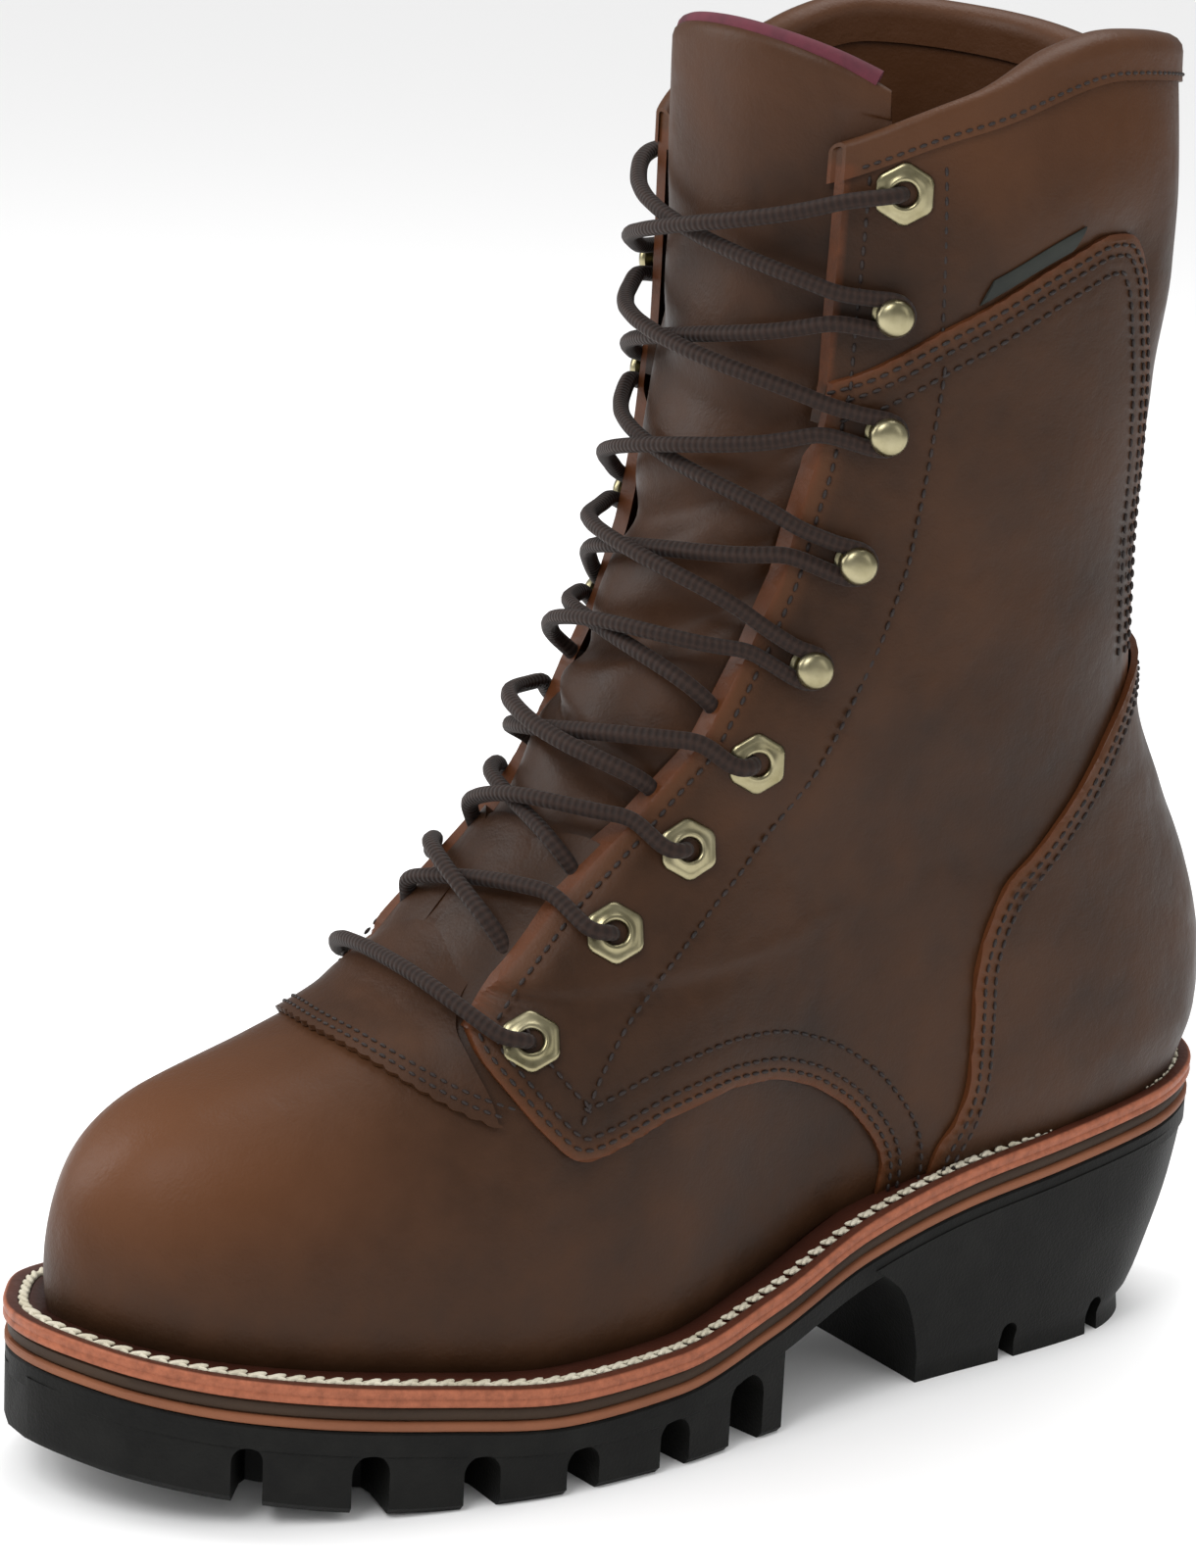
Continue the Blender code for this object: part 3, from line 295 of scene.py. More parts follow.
def rises(points):
    """How much the form rises over two steps along x, s and z at points (x, s, z)."""
    return np.stack([form(*np.moveaxis(points + move, -1, 0)) - form(*np.moveaxis(points - move, -1, 0))
                     for move in np.eye(3) * FORM_STEP], -1)


def normals(points):
    """Directions straight out of the last at points (x, s, z)."""
    grad = rises(points)
    return grad / np.linalg.norm(grad, axis=-1, keepdims=True)


def skin(points, offset):
    """Points of the last moved straight out by an offset."""
    return points + normals(points) * np.asarray(offset, float)[..., None]


def onto(points, offset):
    """Points near the last brought onto it and then out by an offset."""
    points = np.asarray(points, float)
    for _ in range(8):
        grad = rises(points) / (2 * FORM_STEP)
        pull = form(*points.T) / np.maximum((grad * grad).sum(-1), 0.05)
        points = points - grad * pull[:, None]
    return skin(points, offset + 0 * points[:, 0])


def side_point(s, z, side, offset):
    """Points of the last's outer or inner side at places of the side view."""
    s, z = np.atleast_1d(s), np.atleast_1d(z)
    x = root(lambda r: form(side * r, s, z), 0 * s + 1e-5, 0 * s + 0.08)
    return skin(np.stack([side * x, s, z], -1), offset + 0 * s)


def fan(place, turn, offset):
    """Points of the last's front: place runs up the spine, turn is the angle to either side."""
    place, turn = np.broadcast_arrays(place, turn)
    s = smooth(table(SPINE_ROWS, 1, LENGTH), place)
    z = smooth(table(SPINE_ROWS, 2, SHAFT_HEIGHT), place)
    slope = np.radians(smooth(table(SPINE_ROWS, 3), place))
    ray = np.stack([np.sin(turn), np.cos(turn) * np.cos(slope), np.cos(turn) * np.sin(slope)], -1)
    start = np.stack([0 * s, s, z], -1)
    near = 0 * turn + 0 * s
    r = root(lambda r: form(*np.moveaxis(start + r[..., None] * ray, -1, 0)), near, near + 0.12)
    return skin(start + r[..., None] * ray, offset + 0 * r)


# %% Levels round the shaft
RIM_BASE = (2 * HEEL_HEIGHT + FOREFOOT_HEIGHT) / 3
RISE = SHAFT_HEIGHT - RIM_BASE


def level_height(level, s, turn):
    """Height of a level line; low levels follow the welt and the last is the rim."""
    flat = ease(level, LEVEL_TURN, RISE)
    drop = smooth(RIM_ROWS, turn / math.pi) * SHAFT_HEIGHT
    return (1 - flat) * (welt_at(s) + level) + flat * (level + RIM_BASE - drop * flat)


def level_rows(levels, turns):
    """Points (x, s, z) on the last: a row for each level, its turns from the toe round the outer side."""
    fold = np.minimum(turns, 2 * math.pi - turns)

    def crossing(way, turn, far):
        def value(r):
            s = ANKLE_PLACE + way * r
            return form(0 * r + 1e-6, s, level_height(levels, s, turn))
        return ANKLE_PLACE + way * root(value, 0 * levels, 0 * levels + far)
    front, back = crossing(1, 0.0, LENGTH), crossing(-1, math.pi, 0.12)
    spread = np.maximum((front - back) / 2 - 0.040, 0)
    base = ((front + back) / 2)[:, None] + spread[:, None] * np.cos(turns)
    level = levels[:, None]

    def out(r):
        s = base + r * np.cos(turns)
        return form(r * np.sin(turns), s, level_height(level, s, fold))
    r = root(out, 0 * turns, 0 * turns + 0.10)
    s = base + r * np.cos(turns)
    return np.stack([r * np.sin(turns), s, level_height(level, s, fold)], -1)


def side_rows(side, low, high, count, columns, reach):
    """Grid on one side of the boot, from the back seam forwards to the place s = reach."""
    levels = np.linspace(low, high, count) * RISE
    coarse = np.linspace(0, math.pi, 73)
    place = level_rows(levels, np.tile(coarse, (count, 1)))[..., 1]
    first = np.array([np.interp(-reach, -row, coarse) for row in place])
    share = np.linspace(0, 1, columns)
    turns = math.pi + (first[:, None] - math.pi) * share
    return level_rows(levels, turns if side > 0 else 2 * math.pi - turns)


# %% From the last to the frame
edge = np.linspace(0, 1, 2001)
SHIFT_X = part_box("welt")[1][0] - half_width(edge, 1).max()
BACK_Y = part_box("welt")[1][1]


def world(points):
    """Points (x, s, z) as the frame's coordinates: the toe points to -Y."""
    points = np.asarray(points, float)
    return np.stack([points[..., 0] + SHIFT_X, BACK_Y - points[..., 1], points[..., 2]], -1)


def last_place(points):
    """The frame's coordinates as (x, s, z)."""
    points = np.asarray(points, float)
    return np.stack([points[..., 0] - SHIFT_X, BACK_Y - points[..., 1], points[..., 2]], -1)


print("last placed at x", round(SHIFT_X, 5), "and y", round(BACK_Y, 5))

# %% [markdown]
# ## The camera, the floor and the light
# The photo was taken a little above the boot, off its toe's outer side. Matching the sole's outline and the rim
# against the last gave the direction, the distance and the lens. A small lens shift keeps the framing without
# turning the camera, so that lines on the boot converge as in the photo.

# %% Camera
PHOTO_WIDE, PHOTO_HIGH = 1220, 1600
AZIMUTH, ELEVATION, ROLL = math.radians(56.17), math.radians(14.90), math.radians(2.95)
DISTANCE = 0.991
FOCAL_PIXELS = 4437
SENSOR = 36
CENTRE_PIXEL = (664.1, 853.6)
TARGET = Vector(world([0.0, LENGTH / 2, 0.130]))

level = math.cos(ELEVATION)
back = Vector((math.sin(AZIMUTH) * level, -math.cos(AZIMUTH) * level, math.sin(ELEVATION)))
right = Vector((math.cos(AZIMUTH), math.sin(AZIMUTH), 0))
up = back.cross(right)
right, up = (right * math.cos(ROLL) + up * math.sin(ROLL)), (up * math.cos(ROLL) - right * math.sin(ROLL))
camera_data = bpy.data.cameras.new("photo_view")
camera = bpy.data.objects.new("photo_view", camera_data)
bpy.context.scene.collection.objects.link(camera)
axes = Matrix((right, up, back)).transposed().to_4x4()
camera.matrix_world = Matrix.Translation(TARGET + back * DISTANCE) @ axes
camera_data.sensor_fit = "VERTICAL"
camera_data.sensor_height = SENSOR
camera_data.lens = FOCAL_PIXELS / PHOTO_HIGH * SENSOR
camera_data.shift_x = (PHOTO_WIDE / 2 - CENTRE_PIXEL[0]) / PHOTO_HIGH
camera_data.shift_y = (CENTRE_PIXEL[1] - PHOTO_HIGH / 2) / PHOTO_HIGH
camera_data.clip_start = 0.05
bpy.context.scene.camera = camera


# %% Small helpers for meshes and materials
def new_object(name, mesh):
    """Object of a mesh, in the scene."""
    item = bpy.data.objects.new(name, mesh)
    bpy.context.scene.collection.objects.link(item)
    return item


def dressed(item, material, slot, *nodes):
    """Give a piece its material, unless a tree has set it, and its body; it stands for CAD nodes."""
    if material:
        item.data.materials.clear()
        item.data.materials.append(material)
    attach(item, "root")
    if nodes:
        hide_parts(*nodes)
    print(item.name, len(item.data.polygons), "faces")
    return item


# %% Floor and soft studio light
bpy.ops.mesh.primitive_plane_add(size=8, location=(0, 0, 0))
floor = bpy.context.object
floor.name = "floor"
floor_finish = bpy.data.materials.new("floor_paper")
floor_finish.use_nodes = True
paper = floor_finish.node_tree.nodes["Principled BSDF"].inputs
paper["Base Color"].default_value = (0.92, 0.92, 0.92, 1)
paper["Roughness"].default_value = 0.9
floor.data.materials.append(floor_finish)

LAMPS = (                  # name, place, watts, width, height
    ("key_softbox", (0.45, -1.15, 1.45), 13.0, 0.8, 0.8),
    ("side_softbox", (1.60, 0.45, 0.85), 2.0, 0.6, 1.1),
    ("toe_softbox", (-1.05, -0.95, 0.80), 9.0, 0.6, 0.9),
    ("top_softbox", (-0.25, 0.45, 1.55), 11.0, 1.0, 1.0),
)
for name, place, watts, wide, high in LAMPS:
    data = bpy.data.lights.new(name, "AREA")
    data.shape = "RECTANGLE"
    data.energy, data.size, data.size_y = watts, wide, high
    lamp = bpy.data.objects.new(name, data)
    bpy.context.scene.collection.objects.link(lamp)
    lamp.location = place
    lamp.rotation_euler = (Vector((0, 0, 0.14)) - Vector(place)).to_track_quat("-Z", "Y").to_euler()

world_finish = bpy.data.worlds.new("studio")
bpy.context.scene.world = world_finish
world_finish.use_nodes = True
studio = world_finish.node_tree
studio.nodes["Background"].inputs["Color"].default_value = (1, 1, 1, 1)
glossy = studio.nodes.new("ShaderNodeLightPath").outputs["Is Glossy Ray"]
strength = studio.nodes.new("ShaderNodeMapRange")
strength.inputs["To Min"].default_value = 0.98
strength.inputs["To Max"].default_value = 0.30
studio.links.new(glossy, strength.inputs[0])
studio.links.new(strength.outputs[0], studio.nodes["Background"].inputs["Strength"])
bpy.context.scene.view_settings.view_transform = "Standard"

# %% [markdown]
# ## Finishes
# Oiled leather shows a soft cloudy colour, hardly any grain, and a lighter reddish colour where it is cut or
# rubbed.
# One group of nodes gives the clouds and the grain, another the rubbed cut edge and lighter patches, among them a
# painted highlight on the toe's top, and a darker band just over the welt. Each leather mixes its own colours with
# them, so that all the panels belong to one hide without looking the same.


# %% Node helpers and shared effects
def add(tree, kind, inputs=None, **settings):
    """Node with its settings, and values or links for its inputs."""
    node = tree.nodes.new(kind)
    for key, value in settings.items():
        setattr(node, key, value)
    for key, value in (inputs or {}).items():
        if isinstance(value, bpy.types.NodeSocket):
            tree.links.new(value, node.inputs[key])
        else:
            node.inputs[key].default_value = value
    return node


def group_tree(name, kind, outputs, inputs=()):
    """Empty node group with named float outputs, and inputs with their sockets' kinds."""
    tree = bpy.data.node_groups.new(name, kind)
    for title, socket in inputs:
        tree.interface.new_socket(title, in_out="INPUT", socket_type=socket)
    for title in outputs:
        socket = "NodeSocketFloat" if kind == "ShaderNodeTree" else "NodeSocketGeometry"
        tree.interface.new_socket(title, in_out="OUTPUT", socket_type=socket)
    return tree, tree.nodes.new("NodeGroupInput"), tree.nodes.new("NodeGroupOutput")


def spread(tree, value, low, high, start=0.0, end=1.0):
    """Value mapped from low and high to start and end, and clamped."""
    return add(tree, "ShaderNodeMapRange", {0: value, 1: low, 2: high, 3: start, 4: end}).outputs[0]


def maths(tree, operation, *values):
    """Output of a math node."""
    return add(tree, "ShaderNodeMath", dict(enumerate(values)), operation=operation).outputs[0]


hide, _, hide_out = group_tree("hide_surface", "ShaderNodeTree", ("Mottle", "Cloud", "Grain"))
spot = add(hide, "ShaderNodeTexCoord").outputs["Object"]
broad = add(hide, "ShaderNodeTexNoise", {
    "Vector": spot, "Scale": 17, "Detail": 3, "Roughness": 0.5, "Distortion": 0.4})
fine = add(hide, "ShaderNodeTexNoise", {"Vector": spot, "Scale": 95, "Detail": 6, "Roughness": 0.62})
pores = add(hide, "ShaderNodeTexVoronoi", {"Vector": spot, "Scale": 1500, "Randomness": 1.0})
nap = add(hide, "ShaderNodeTexNoise", {"Vector": spot, "Scale": 900, "Detail": 3})
grain = maths(hide, "ADD", pores.outputs["Distance"], nap.outputs[0])
hide.links.new(spread(hide, broad.outputs[0], 0.34, 0.66), hide_out.inputs["Mottle"])
hide.links.new(spread(hide, fine.outputs[0], 0.30, 0.70), hide_out.inputs["Cloud"])
hide.links.new(grain, hide_out.inputs["Grain"])

# Masks on the pieces: bare cut edges; lighter leather, with a painted highlight on the toe; a darker band by the
# welt
wear_and_highlight_tree, _, wear_and_highlight_out = group_tree("worn_edge", "ShaderNodeTree", ("Edge", "Tone", "Soil"))
spot = add(wear_and_highlight_tree, "ShaderNodeTexCoord").outputs["Object"]
breakup = add(wear_and_highlight_tree, "ShaderNodeTexNoise", {"Vector": spot, "Scale": 420, "Detail": 4, "Roughness": 0.7})
for mask in ("edge", "tone", "soil"):
    here = add(wear_and_highlight_tree, "ShaderNodeAttribute", attribute_name=mask).outputs["Fac"]
    if mask == "edge":
        here = maths(wear_and_highlight_tree, "MULTIPLY", here, spread(wear_and_highlight_tree, breakup.outputs[0], 0.25, 0.65, 0.45, 1.0))
    wear_and_highlight_tree.links.new(here, wear_and_highlight_out.inputs[mask.capitalize()])

# Plaited cord: a height for the bump, and painted shade that darkens the hollows between the strands
plait, _, plait_out = group_tree("plaited_cord", "ShaderNodeTree", ("Height", "Shade"))
course = add(plait, "ShaderNodeSeparateXYZ", {0: add(plait, "ShaderNodeUVMap", uv_map="cord").outputs[0]})
slants = []
for turn in (1, -1):
    lean = maths(plait, "MULTIPLY", course.outputs[1], 5.0 * turn)
    run = maths(plait, "MULTIPLY_ADD", course.outputs[0], 620.0, lean)
    slants.append(maths(plait, "SINE", maths(plait, "MULTIPLY", run, math.pi)))
weave = maths(plait, "MULTIPLY", *slants)
plait.links.new(spread(plait, weave, -1, 1), plait_out.inputs["Height"])
plait.links.new(spread(plait, weave, -0.7, 0.5, 0.45, 1.0), plait_out.inputs["Shade"])


# %% Leather, rubber, brass and cord
def colour(red, green, blue):
    """Screen colour from 0 to 255 as a linear one."""
    parts = [c / 255 / 12.92 if c < 11 else ((c / 255 + 0.055) / 1.055) ** 2.4 for c in (red, green, blue)]
    return (*parts, 1)


def mixed(tree, share, first, second, blend="MIX"):
    """Colour mix of two colours or sockets."""
    mix = add(tree, "ShaderNodeMix", {0: share, 6: first, 7: second}, data_type="RGBA", blend_type=blend)
    return mix.outputs[2]


def new_material(name):
    """Material with nodes, its tree and its shader."""
    material = bpy.data.materials.new(name)
    material.use_nodes = True
    return material, material.node_tree, material.node_tree.nodes["Principled BSDF"]


def leather(name, dark, light, tone_and_highlight_colour, bare, rough=(0.40, 0.54), coat=0.06, grain_depth=0.10):
    """Oiled leather: clouded between two colours, lighter where masked (partly a painted highlight), its own
    colour at cut edges.
    """
    material, tree, shader = new_material(name)
    surface = add(tree, "ShaderNodeGroup", node_tree=hide)
    edges = add(tree, "ShaderNodeGroup", node_tree=wear_and_highlight_tree)
    clouds = maths(tree, "MULTIPLY", surface.outputs["Mottle"], 0.62)
    clouds = maths(tree, "MULTIPLY_ADD", surface.outputs["Cloud"], 0.38, clouds)
    base = mixed(tree, clouds, colour(*dark), colour(*light))
    # lighter under its mask: rubbed edges, and a painted highlight on the toe's top
    base = mixed(tree, edges.outputs["Tone"], base, colour(*tone_and_highlight_colour))
    # up to half as dark in the band where the upper meets the welt
    base = mixed(tree, edges.outputs["Soil"], base, mixed(tree, 0.5, base, (0.004, 0.003, 0.002, 1)))
    base = mixed(tree, edges.outputs["Edge"], base, colour(*bare))
    tree.links.new(base, shader.inputs["Base Color"])
    tree.links.new(spread(tree, surface.outputs["Cloud"], 0, 1, *rough), shader.inputs["Roughness"])
    shader.inputs["Coat Weight"].default_value = coat
    shader.inputs["Coat Roughness"].default_value = 0.42
    shader.inputs["Specular IOR Level"].default_value = 0.16
    low = add(tree, "ShaderNodeBump", {
        "Strength": 0.35, "Distance": 0.0006, "Height": surface.outputs["Cloud"]})
    high = add(tree, "ShaderNodeBump", {
        "Strength": grain_depth, "Distance": 0.0004, "Height": surface.outputs["Grain"],
        "Normal": low.outputs[0]})
    tree.links.new(high.outputs[0], shader.inputs["Normal"])
    return material


HIDE_DARK, HIDE_LIGHT, HIDE_TONE_AND_HIGHLIGHT, HIDE_CUT = (35, 20, 9), (63, 38, 20), (95, 57, 31), (84, 46, 24)
brown = leather("oiled_leather", HIDE_DARK, HIDE_LIGHT, HIDE_TONE_AND_HIGHLIGHT, HIDE_CUT)
overlay = leather("overlay_leather", (38, 22, 11), (66, 40, 22), (94, 58, 34), HIDE_CUT)
lining = leather("lining_leather", (50, 35, 25), (72, 52, 39), (80, 58, 44), HIDE_CUT, (0.5, 0.62), 0.0)
welt_finish = leather("welt_leather", (60, 30, 21), (78, 40, 28), (100, 56, 40), (156, 92, 66), (0.42, 0.55))
midsole_finish = leather("midsole_leather", (44, 33, 25), (60, 46, 35), (70, 54, 42), (56, 42, 32), (0.6, 0.75))
slip_finish = leather("slip_leather", (104, 64, 44), (130, 82, 57), (140, 90, 64), (130, 78, 52), (0.5, 0.65))


def finish(name, dark, light, rough, effect=hide, share="Cloud", bump=None, **settings):
    """Plain finish: clouded between two colours, with one roughness or one that varies with an output."""
    material, tree, shader = new_material(name)
    surface = add(tree, "ShaderNodeGroup", node_tree=effect).outputs
    tree.links.new(mixed(tree, surface[share], colour(*dark), colour(*light)), shader.inputs["Base Color"])
    if isinstance(rough, tuple):
        tree.links.new(spread(tree, surface[rough[0]], 0, 1, *rough[1:]), shader.inputs["Roughness"])
    else:
        shader.inputs["Roughness"].default_value = rough
    for key, value in settings.items():
        shader.inputs[key.replace("_", " ")].default_value = value
    if bump:
        height, strength = bump
        raised = add(tree, "ShaderNodeBump", {"Strength": strength, "Distance": 0.0005, "Height": surface[height]})
        tree.links.new(raised.outputs[0], shader.inputs["Normal"])
    return material


rubber = finish("black_rubber", (13, 13, 12), (22, 22, 20), ("Mottle", 0.50, 0.64), bump=("Grain", 0.18),
                Specular_IOR_Level=0.14)
brass = finish("antique_brass", (132, 124, 92), (178, 170, 138), ("Cloud", 0.24, 0.38), Metallic=1.0)
# the lace is darker in the hollows of its plait: painted shade
cord = finish("plaited_lace", (16, 10, 8), (44, 30, 24), 0.72, plait, "Shade", ("Height", 0.7),
              Sheen_Weight=0.05, Specular_IOR_Level=0.2)
dark_thread = finish("dark_thread", (22, 13, 10), (38, 23, 17), 0.6)
welt_thread = finish("welt_thread", (176, 168, 146), (214, 208, 190), 0.75)
knit = finish("maroon_knit", (66, 20, 32), (96, 30, 46), 0.85)
tag_finish = finish("tag_cloth", (24, 28, 24), (34, 38, 32), 0.8)
print(len(bpy.data.materials), "materials")

# %% [markdown]
# ## Stitches from one tree of Geometry Nodes
# Every row of stitches is a path on the leather. The tree turns the path into a curve, steps along it by the
# stitch's pitch, sets a small lens-shaped stitch on each step with its flat side to the leather, and joins them.
# The same tree with a thicker, turned stitch gives the rope-like lock stitch of the welt.

# %% Stitch tree
def facing(tree, name, side):
    """Rotation that turns Z to a named direction, and X as near as it can to another."""
    out = add(tree, "GeometryNodeInputNamedAttribute", {"Name": name}, data_type="FLOAT_VECTOR")
    return add(tree, "FunctionNodeAxesToRotation", {0: out.outputs[0], 1: side},
               primary_axis="Z", secondary_axis="X").outputs[0]


def end_tree(tree, enters, leaves, **inputs):
    """Last nodes of a tree: copies on points, made real, with their material."""
    laid = add(tree, "GeometryNodeInstanceOnPoints", inputs)
    solid = add(tree, "GeometryNodeRealizeInstances", {0: laid.outputs[0]})
    painted = add(tree, "GeometryNodeSetMaterial", {
        0: solid.outputs[0], "Material": enters.outputs["Material"]})
    tree.links.new(painted.outputs[0], leaves.inputs[0])


stitch_tree, enters, leaves = group_tree("stitch_rows", "GeometryNodeTree", ("Geometry",), (
    ("Geometry", "NodeSocketGeometry"), ("Pitch", "NodeSocketFloat"), ("Length", "NodeSocketFloat"),
    ("Width", "NodeSocketFloat"), ("Turn", "NodeSocketFloat"), ("Material", "NodeSocketMaterial")))
curve = add(stitch_tree, "GeometryNodeMeshToCurve", {0: enters.outputs["Geometry"]})
steps = add(stitch_tree, "GeometryNodeResampleCurve", {
    "Curve": curve.outputs[0], "Length": enters.outputs["Pitch"]}, mode="LENGTH")
ball = add(stitch_tree, "GeometryNodeMeshUVSphere", {"Segments": 8, "Rings": 6, "Radius": 0.5})
along = add(stitch_tree, "GeometryNodeInputTangent")
about = add(stitch_tree, "FunctionNodeAxisAngleToRotation", {0: (0, 0, 1), 1: enters.outputs["Turn"]})
spun = add(stitch_tree, "FunctionNodeRotateRotation", {
    0: facing(stitch_tree, "up", along.outputs[0]), 1: about.outputs[0]}, rotation_space="LOCAL")
size = add(stitch_tree, "ShaderNodeCombineXYZ", {
    0: enters.outputs["Length"], 1: enters.outputs["Width"], 2: enters.outputs["Width"]})
end_tree(stitch_tree, enters, leaves, Points=steps.outputs[0], Instance=ball.outputs[0],
         Rotation=spun.outputs[0], Scale=size.outputs[0])


def grown(item, tree, **values):
    """Run a node tree on an object with its inputs set, and return a plain object in its place."""
    modifier = item.modifiers.new("grow", "NODES")
    modifier.node_group = tree
    for socket in tree.interface.items_tree:
        if socket.in_out == "INPUT" and socket.name in values:
            modifier[socket.identifier] = values[socket.name]
    item.update_tag()
    depsgraph = bpy.context.evaluated_depsgraph_get()
    mesh = bpy.data.meshes.new_from_object(item.evaluated_get(depsgraph))
    name = item.name
    bpy.data.objects.remove(item)
    result = new_object(name, mesh)
    mesh.name = name
    return result


def travelled(points):
    """Length of a path up to each of its points."""
    return np.concatenate([[0], np.cumsum(np.linalg.norm(np.diff(points, axis=0), axis=1))])


def evenly(points, step=0.001):
    """Path resampled so that its points lie about a step apart."""
    points = np.asarray(points, float)
    run = travelled(points)
    at = np.linspace(0, run[-1], max(int(run[-1] / step), 2) + 1)
    return np.stack([np.interp(at, run, column) for column in points.T], -1)


def set_vectors(mesh, name, values):
    """Direction on each point of a mesh, under a name that a tree reads."""
    mesh.attributes.new(name, "FLOAT_VECTOR", "POINT").data.foreach_set("vector", np.ravel(values))


def stitch_rows(name, paths, material, slot, pitch=0.0030, length=0.0022, width=0.0009, turn=0.0):
    """Rows of stitches on paths, each a pair of places in the frame and directions out of the leather."""
    points, ups, edges = [], [], []
    for path, normal in paths:
        start = len(points)
        points += [tuple(p) for p in path]
        ups += [tuple(n) for n in normal]
        edges += [(i, i + 1) for i in range(start, len(points) - 1)]
    mesh = bpy.data.meshes.new(name)
    mesh.from_pydata(points, edges, [])
    set_vectors(mesh, "up", ups)
    item = grown(new_object(name, mesh), stitch_tree, Pitch=pitch, Length=length, Width=width, Turn=turn,
                 Material=material)
    return dressed(item, None, slot)


def on_last(points, lift):
    """Path and directions in the frame for points on the last, lifted out."""
    normal = normals(points)
    return world(points + normal * np.asarray(lift)[..., None]), normal * (1, -1, 1)

# %% [markdown]
# ## Lines of the upper in the side view
# The edges of the panels are lines in the side view, read from the photo: the throat, the quarter's curve over
# the vamp, its stepped top edge under the collar and the counter's front. Each is kept in shares of the sole's
# length and the shaft's height. The same line gives the cut, the rounding of the leather beside it and the
# stitches that follow it.

# %% Tables of the lines
THROAT_LINE = (            # edge of the eyestay, from the vamp to the collar
    (0.706, 0.323), (0.679, 0.355), (0.629, 0.407), (0.578, 0.456), (0.534, 0.510), (0.497, 0.577),
    (0.475, 0.630), (0.457, 0.704), (0.449, 0.760), (0.448, 0.830), (0.447, 0.915),
)
EYE_ROWS = (               # place along the throat line, inset as a share of the eyelets' inset
    (0.45, 0.90), (2.05, 0.98), (3.15, 1.05), (4.15, 1.08), (5.10, 1.10),
    (6.30, 1.12), (7.60, 1.00), (8.80, 0.90), (9.80, 0.90),
)
HOOK_ROWS = (4, 5, 6, 7)
VAMP_EDGE = (              # edge of the quarter over the vamp, from the welt to the throat
    (0.352, 0.100), (0.357, 0.165), (0.356, 0.180), (0.370, 0.203), (0.395, 0.230), (0.430, 0.252),
    (0.468, 0.265), (0.514, 0.267), (0.571, 0.256), (0.606, 0.242), (0.640, 0.232), (0.652, 0.236),
    (0.676, 0.262), (0.694, 0.288), (0.706, 0.308), (0.705, 0.323),
)
COLLAR_SEAM = (            # top edge of the quarter, from the eyestay to the counter
    (0.449, 0.765), (0.430, 0.773), (0.384, 0.803), (0.355, 0.818), (0.305, 0.846), (0.254, 0.869),
    (0.222, 0.868), (0.200, 0.840), (0.180, 0.770), (0.168, 0.690), (0.155, 0.590), (0.140, 0.500),
)
COUNTER_EDGE = (           # front edge of the heel counter, from the welt to the back
    (0.316, 0.120), (0.311, 0.185), (0.297, 0.203), (0.290, 0.232), (0.292, 0.270), (0.296, 0.322),
    (0.290, 0.354), (0.274, 0.388), (0.252, 0.408), (0.219, 0.446), (0.184, 0.491), (0.146, 0.529),
    (0.100, 0.552),
)
REAR_STITCH = (            # row behind the eyelets, from the collar to the vamp
    (0.3895, 0.920), (0.382, 0.805), (0.379, 0.775), (0.3845, 0.706), (0.3927, 0.637), (0.4082, 0.582),
    (0.4286, 0.535), (0.4514, 0.4885), (0.504, 0.4185), (0.5686, 0.3585), (0.6016, 0.3252), (0.628, 0.287),
    (0.641, 0.262),
)
TONGUE_ROWS = (            # place up the front, degrees to each side, and those of the throat
    (0.95, 34, 20), (2.00, 43, 24), (3.00, 48, 29), (4.50, 50, 32), (7.00, 47, 36),
)
THROAT_PIECE_ROWS = (      # place up the front, rise of its sides, degrees to each side
    (0.12, 0.72, 56), (0.45, 0.47, 50), (0.80, 0.22, 38), (1.08, 0.06, 29),
    (1.40, 0.00, 23), (1.80, 0.00, 21), (2.20, 0.00, 19), (2.45, -0.06, 15),
)
EYE_INSET = 0.0115
THROAT_PIECE, THROAT_PIECE_LIFT = 0.0013, 0.0004
TONGUE, TONGUE_TOP, TONGUE_GAP = 0.0060, 0.311, 0.0015
TONGUE_SWELL, TONGUE_THIN, TONGUE_DIP = 0.0026, 0.55, 0.010
PAD, PAD_BOTTOM, PAD_FRONT, PAD_FADE = 0.0060, 0.225, 0.121, 0.024


def side_line(rows, step=0.001):
    """A side line in metres, with its points a step apart."""
    return evenly(np.array(rows) * (LENGTH, SHAFT_HEIGHT), step)


def rounded(line, times=6):
    """A line with its corners eased."""
    for _ in range(times):
        line = np.concatenate([line[:1], (line[:-2] + 2 * line[1:-1] + line[2:]) / 4, line[-1:]])
    return line


def inset(line, by):
    """A line moved to its left by a distance."""
    run = np.gradient(line, axis=0)
    run /= np.linalg.norm(run, axis=1)[:, None]
    return evenly(rounded(line + by * np.stack([-run[:, 1], run[:, 0]], -1)))


def away(points, line):
    """Distance in the side view from points (x, s, z) to a line."""
    flat = points[..., 1:].reshape(-1, 2)
    best = np.full(len(flat), 1.0)
    for p, q in zip(line[:-2:2], line[2::2]):
        run = q - p
        share = np.clip(((flat - p) @ run) / (run @ run), 0, 1)
        best = np.minimum(best, np.linalg.norm(flat - p - share[:, None] * run, axis=1))
    return best.reshape(points.shape[:-1])


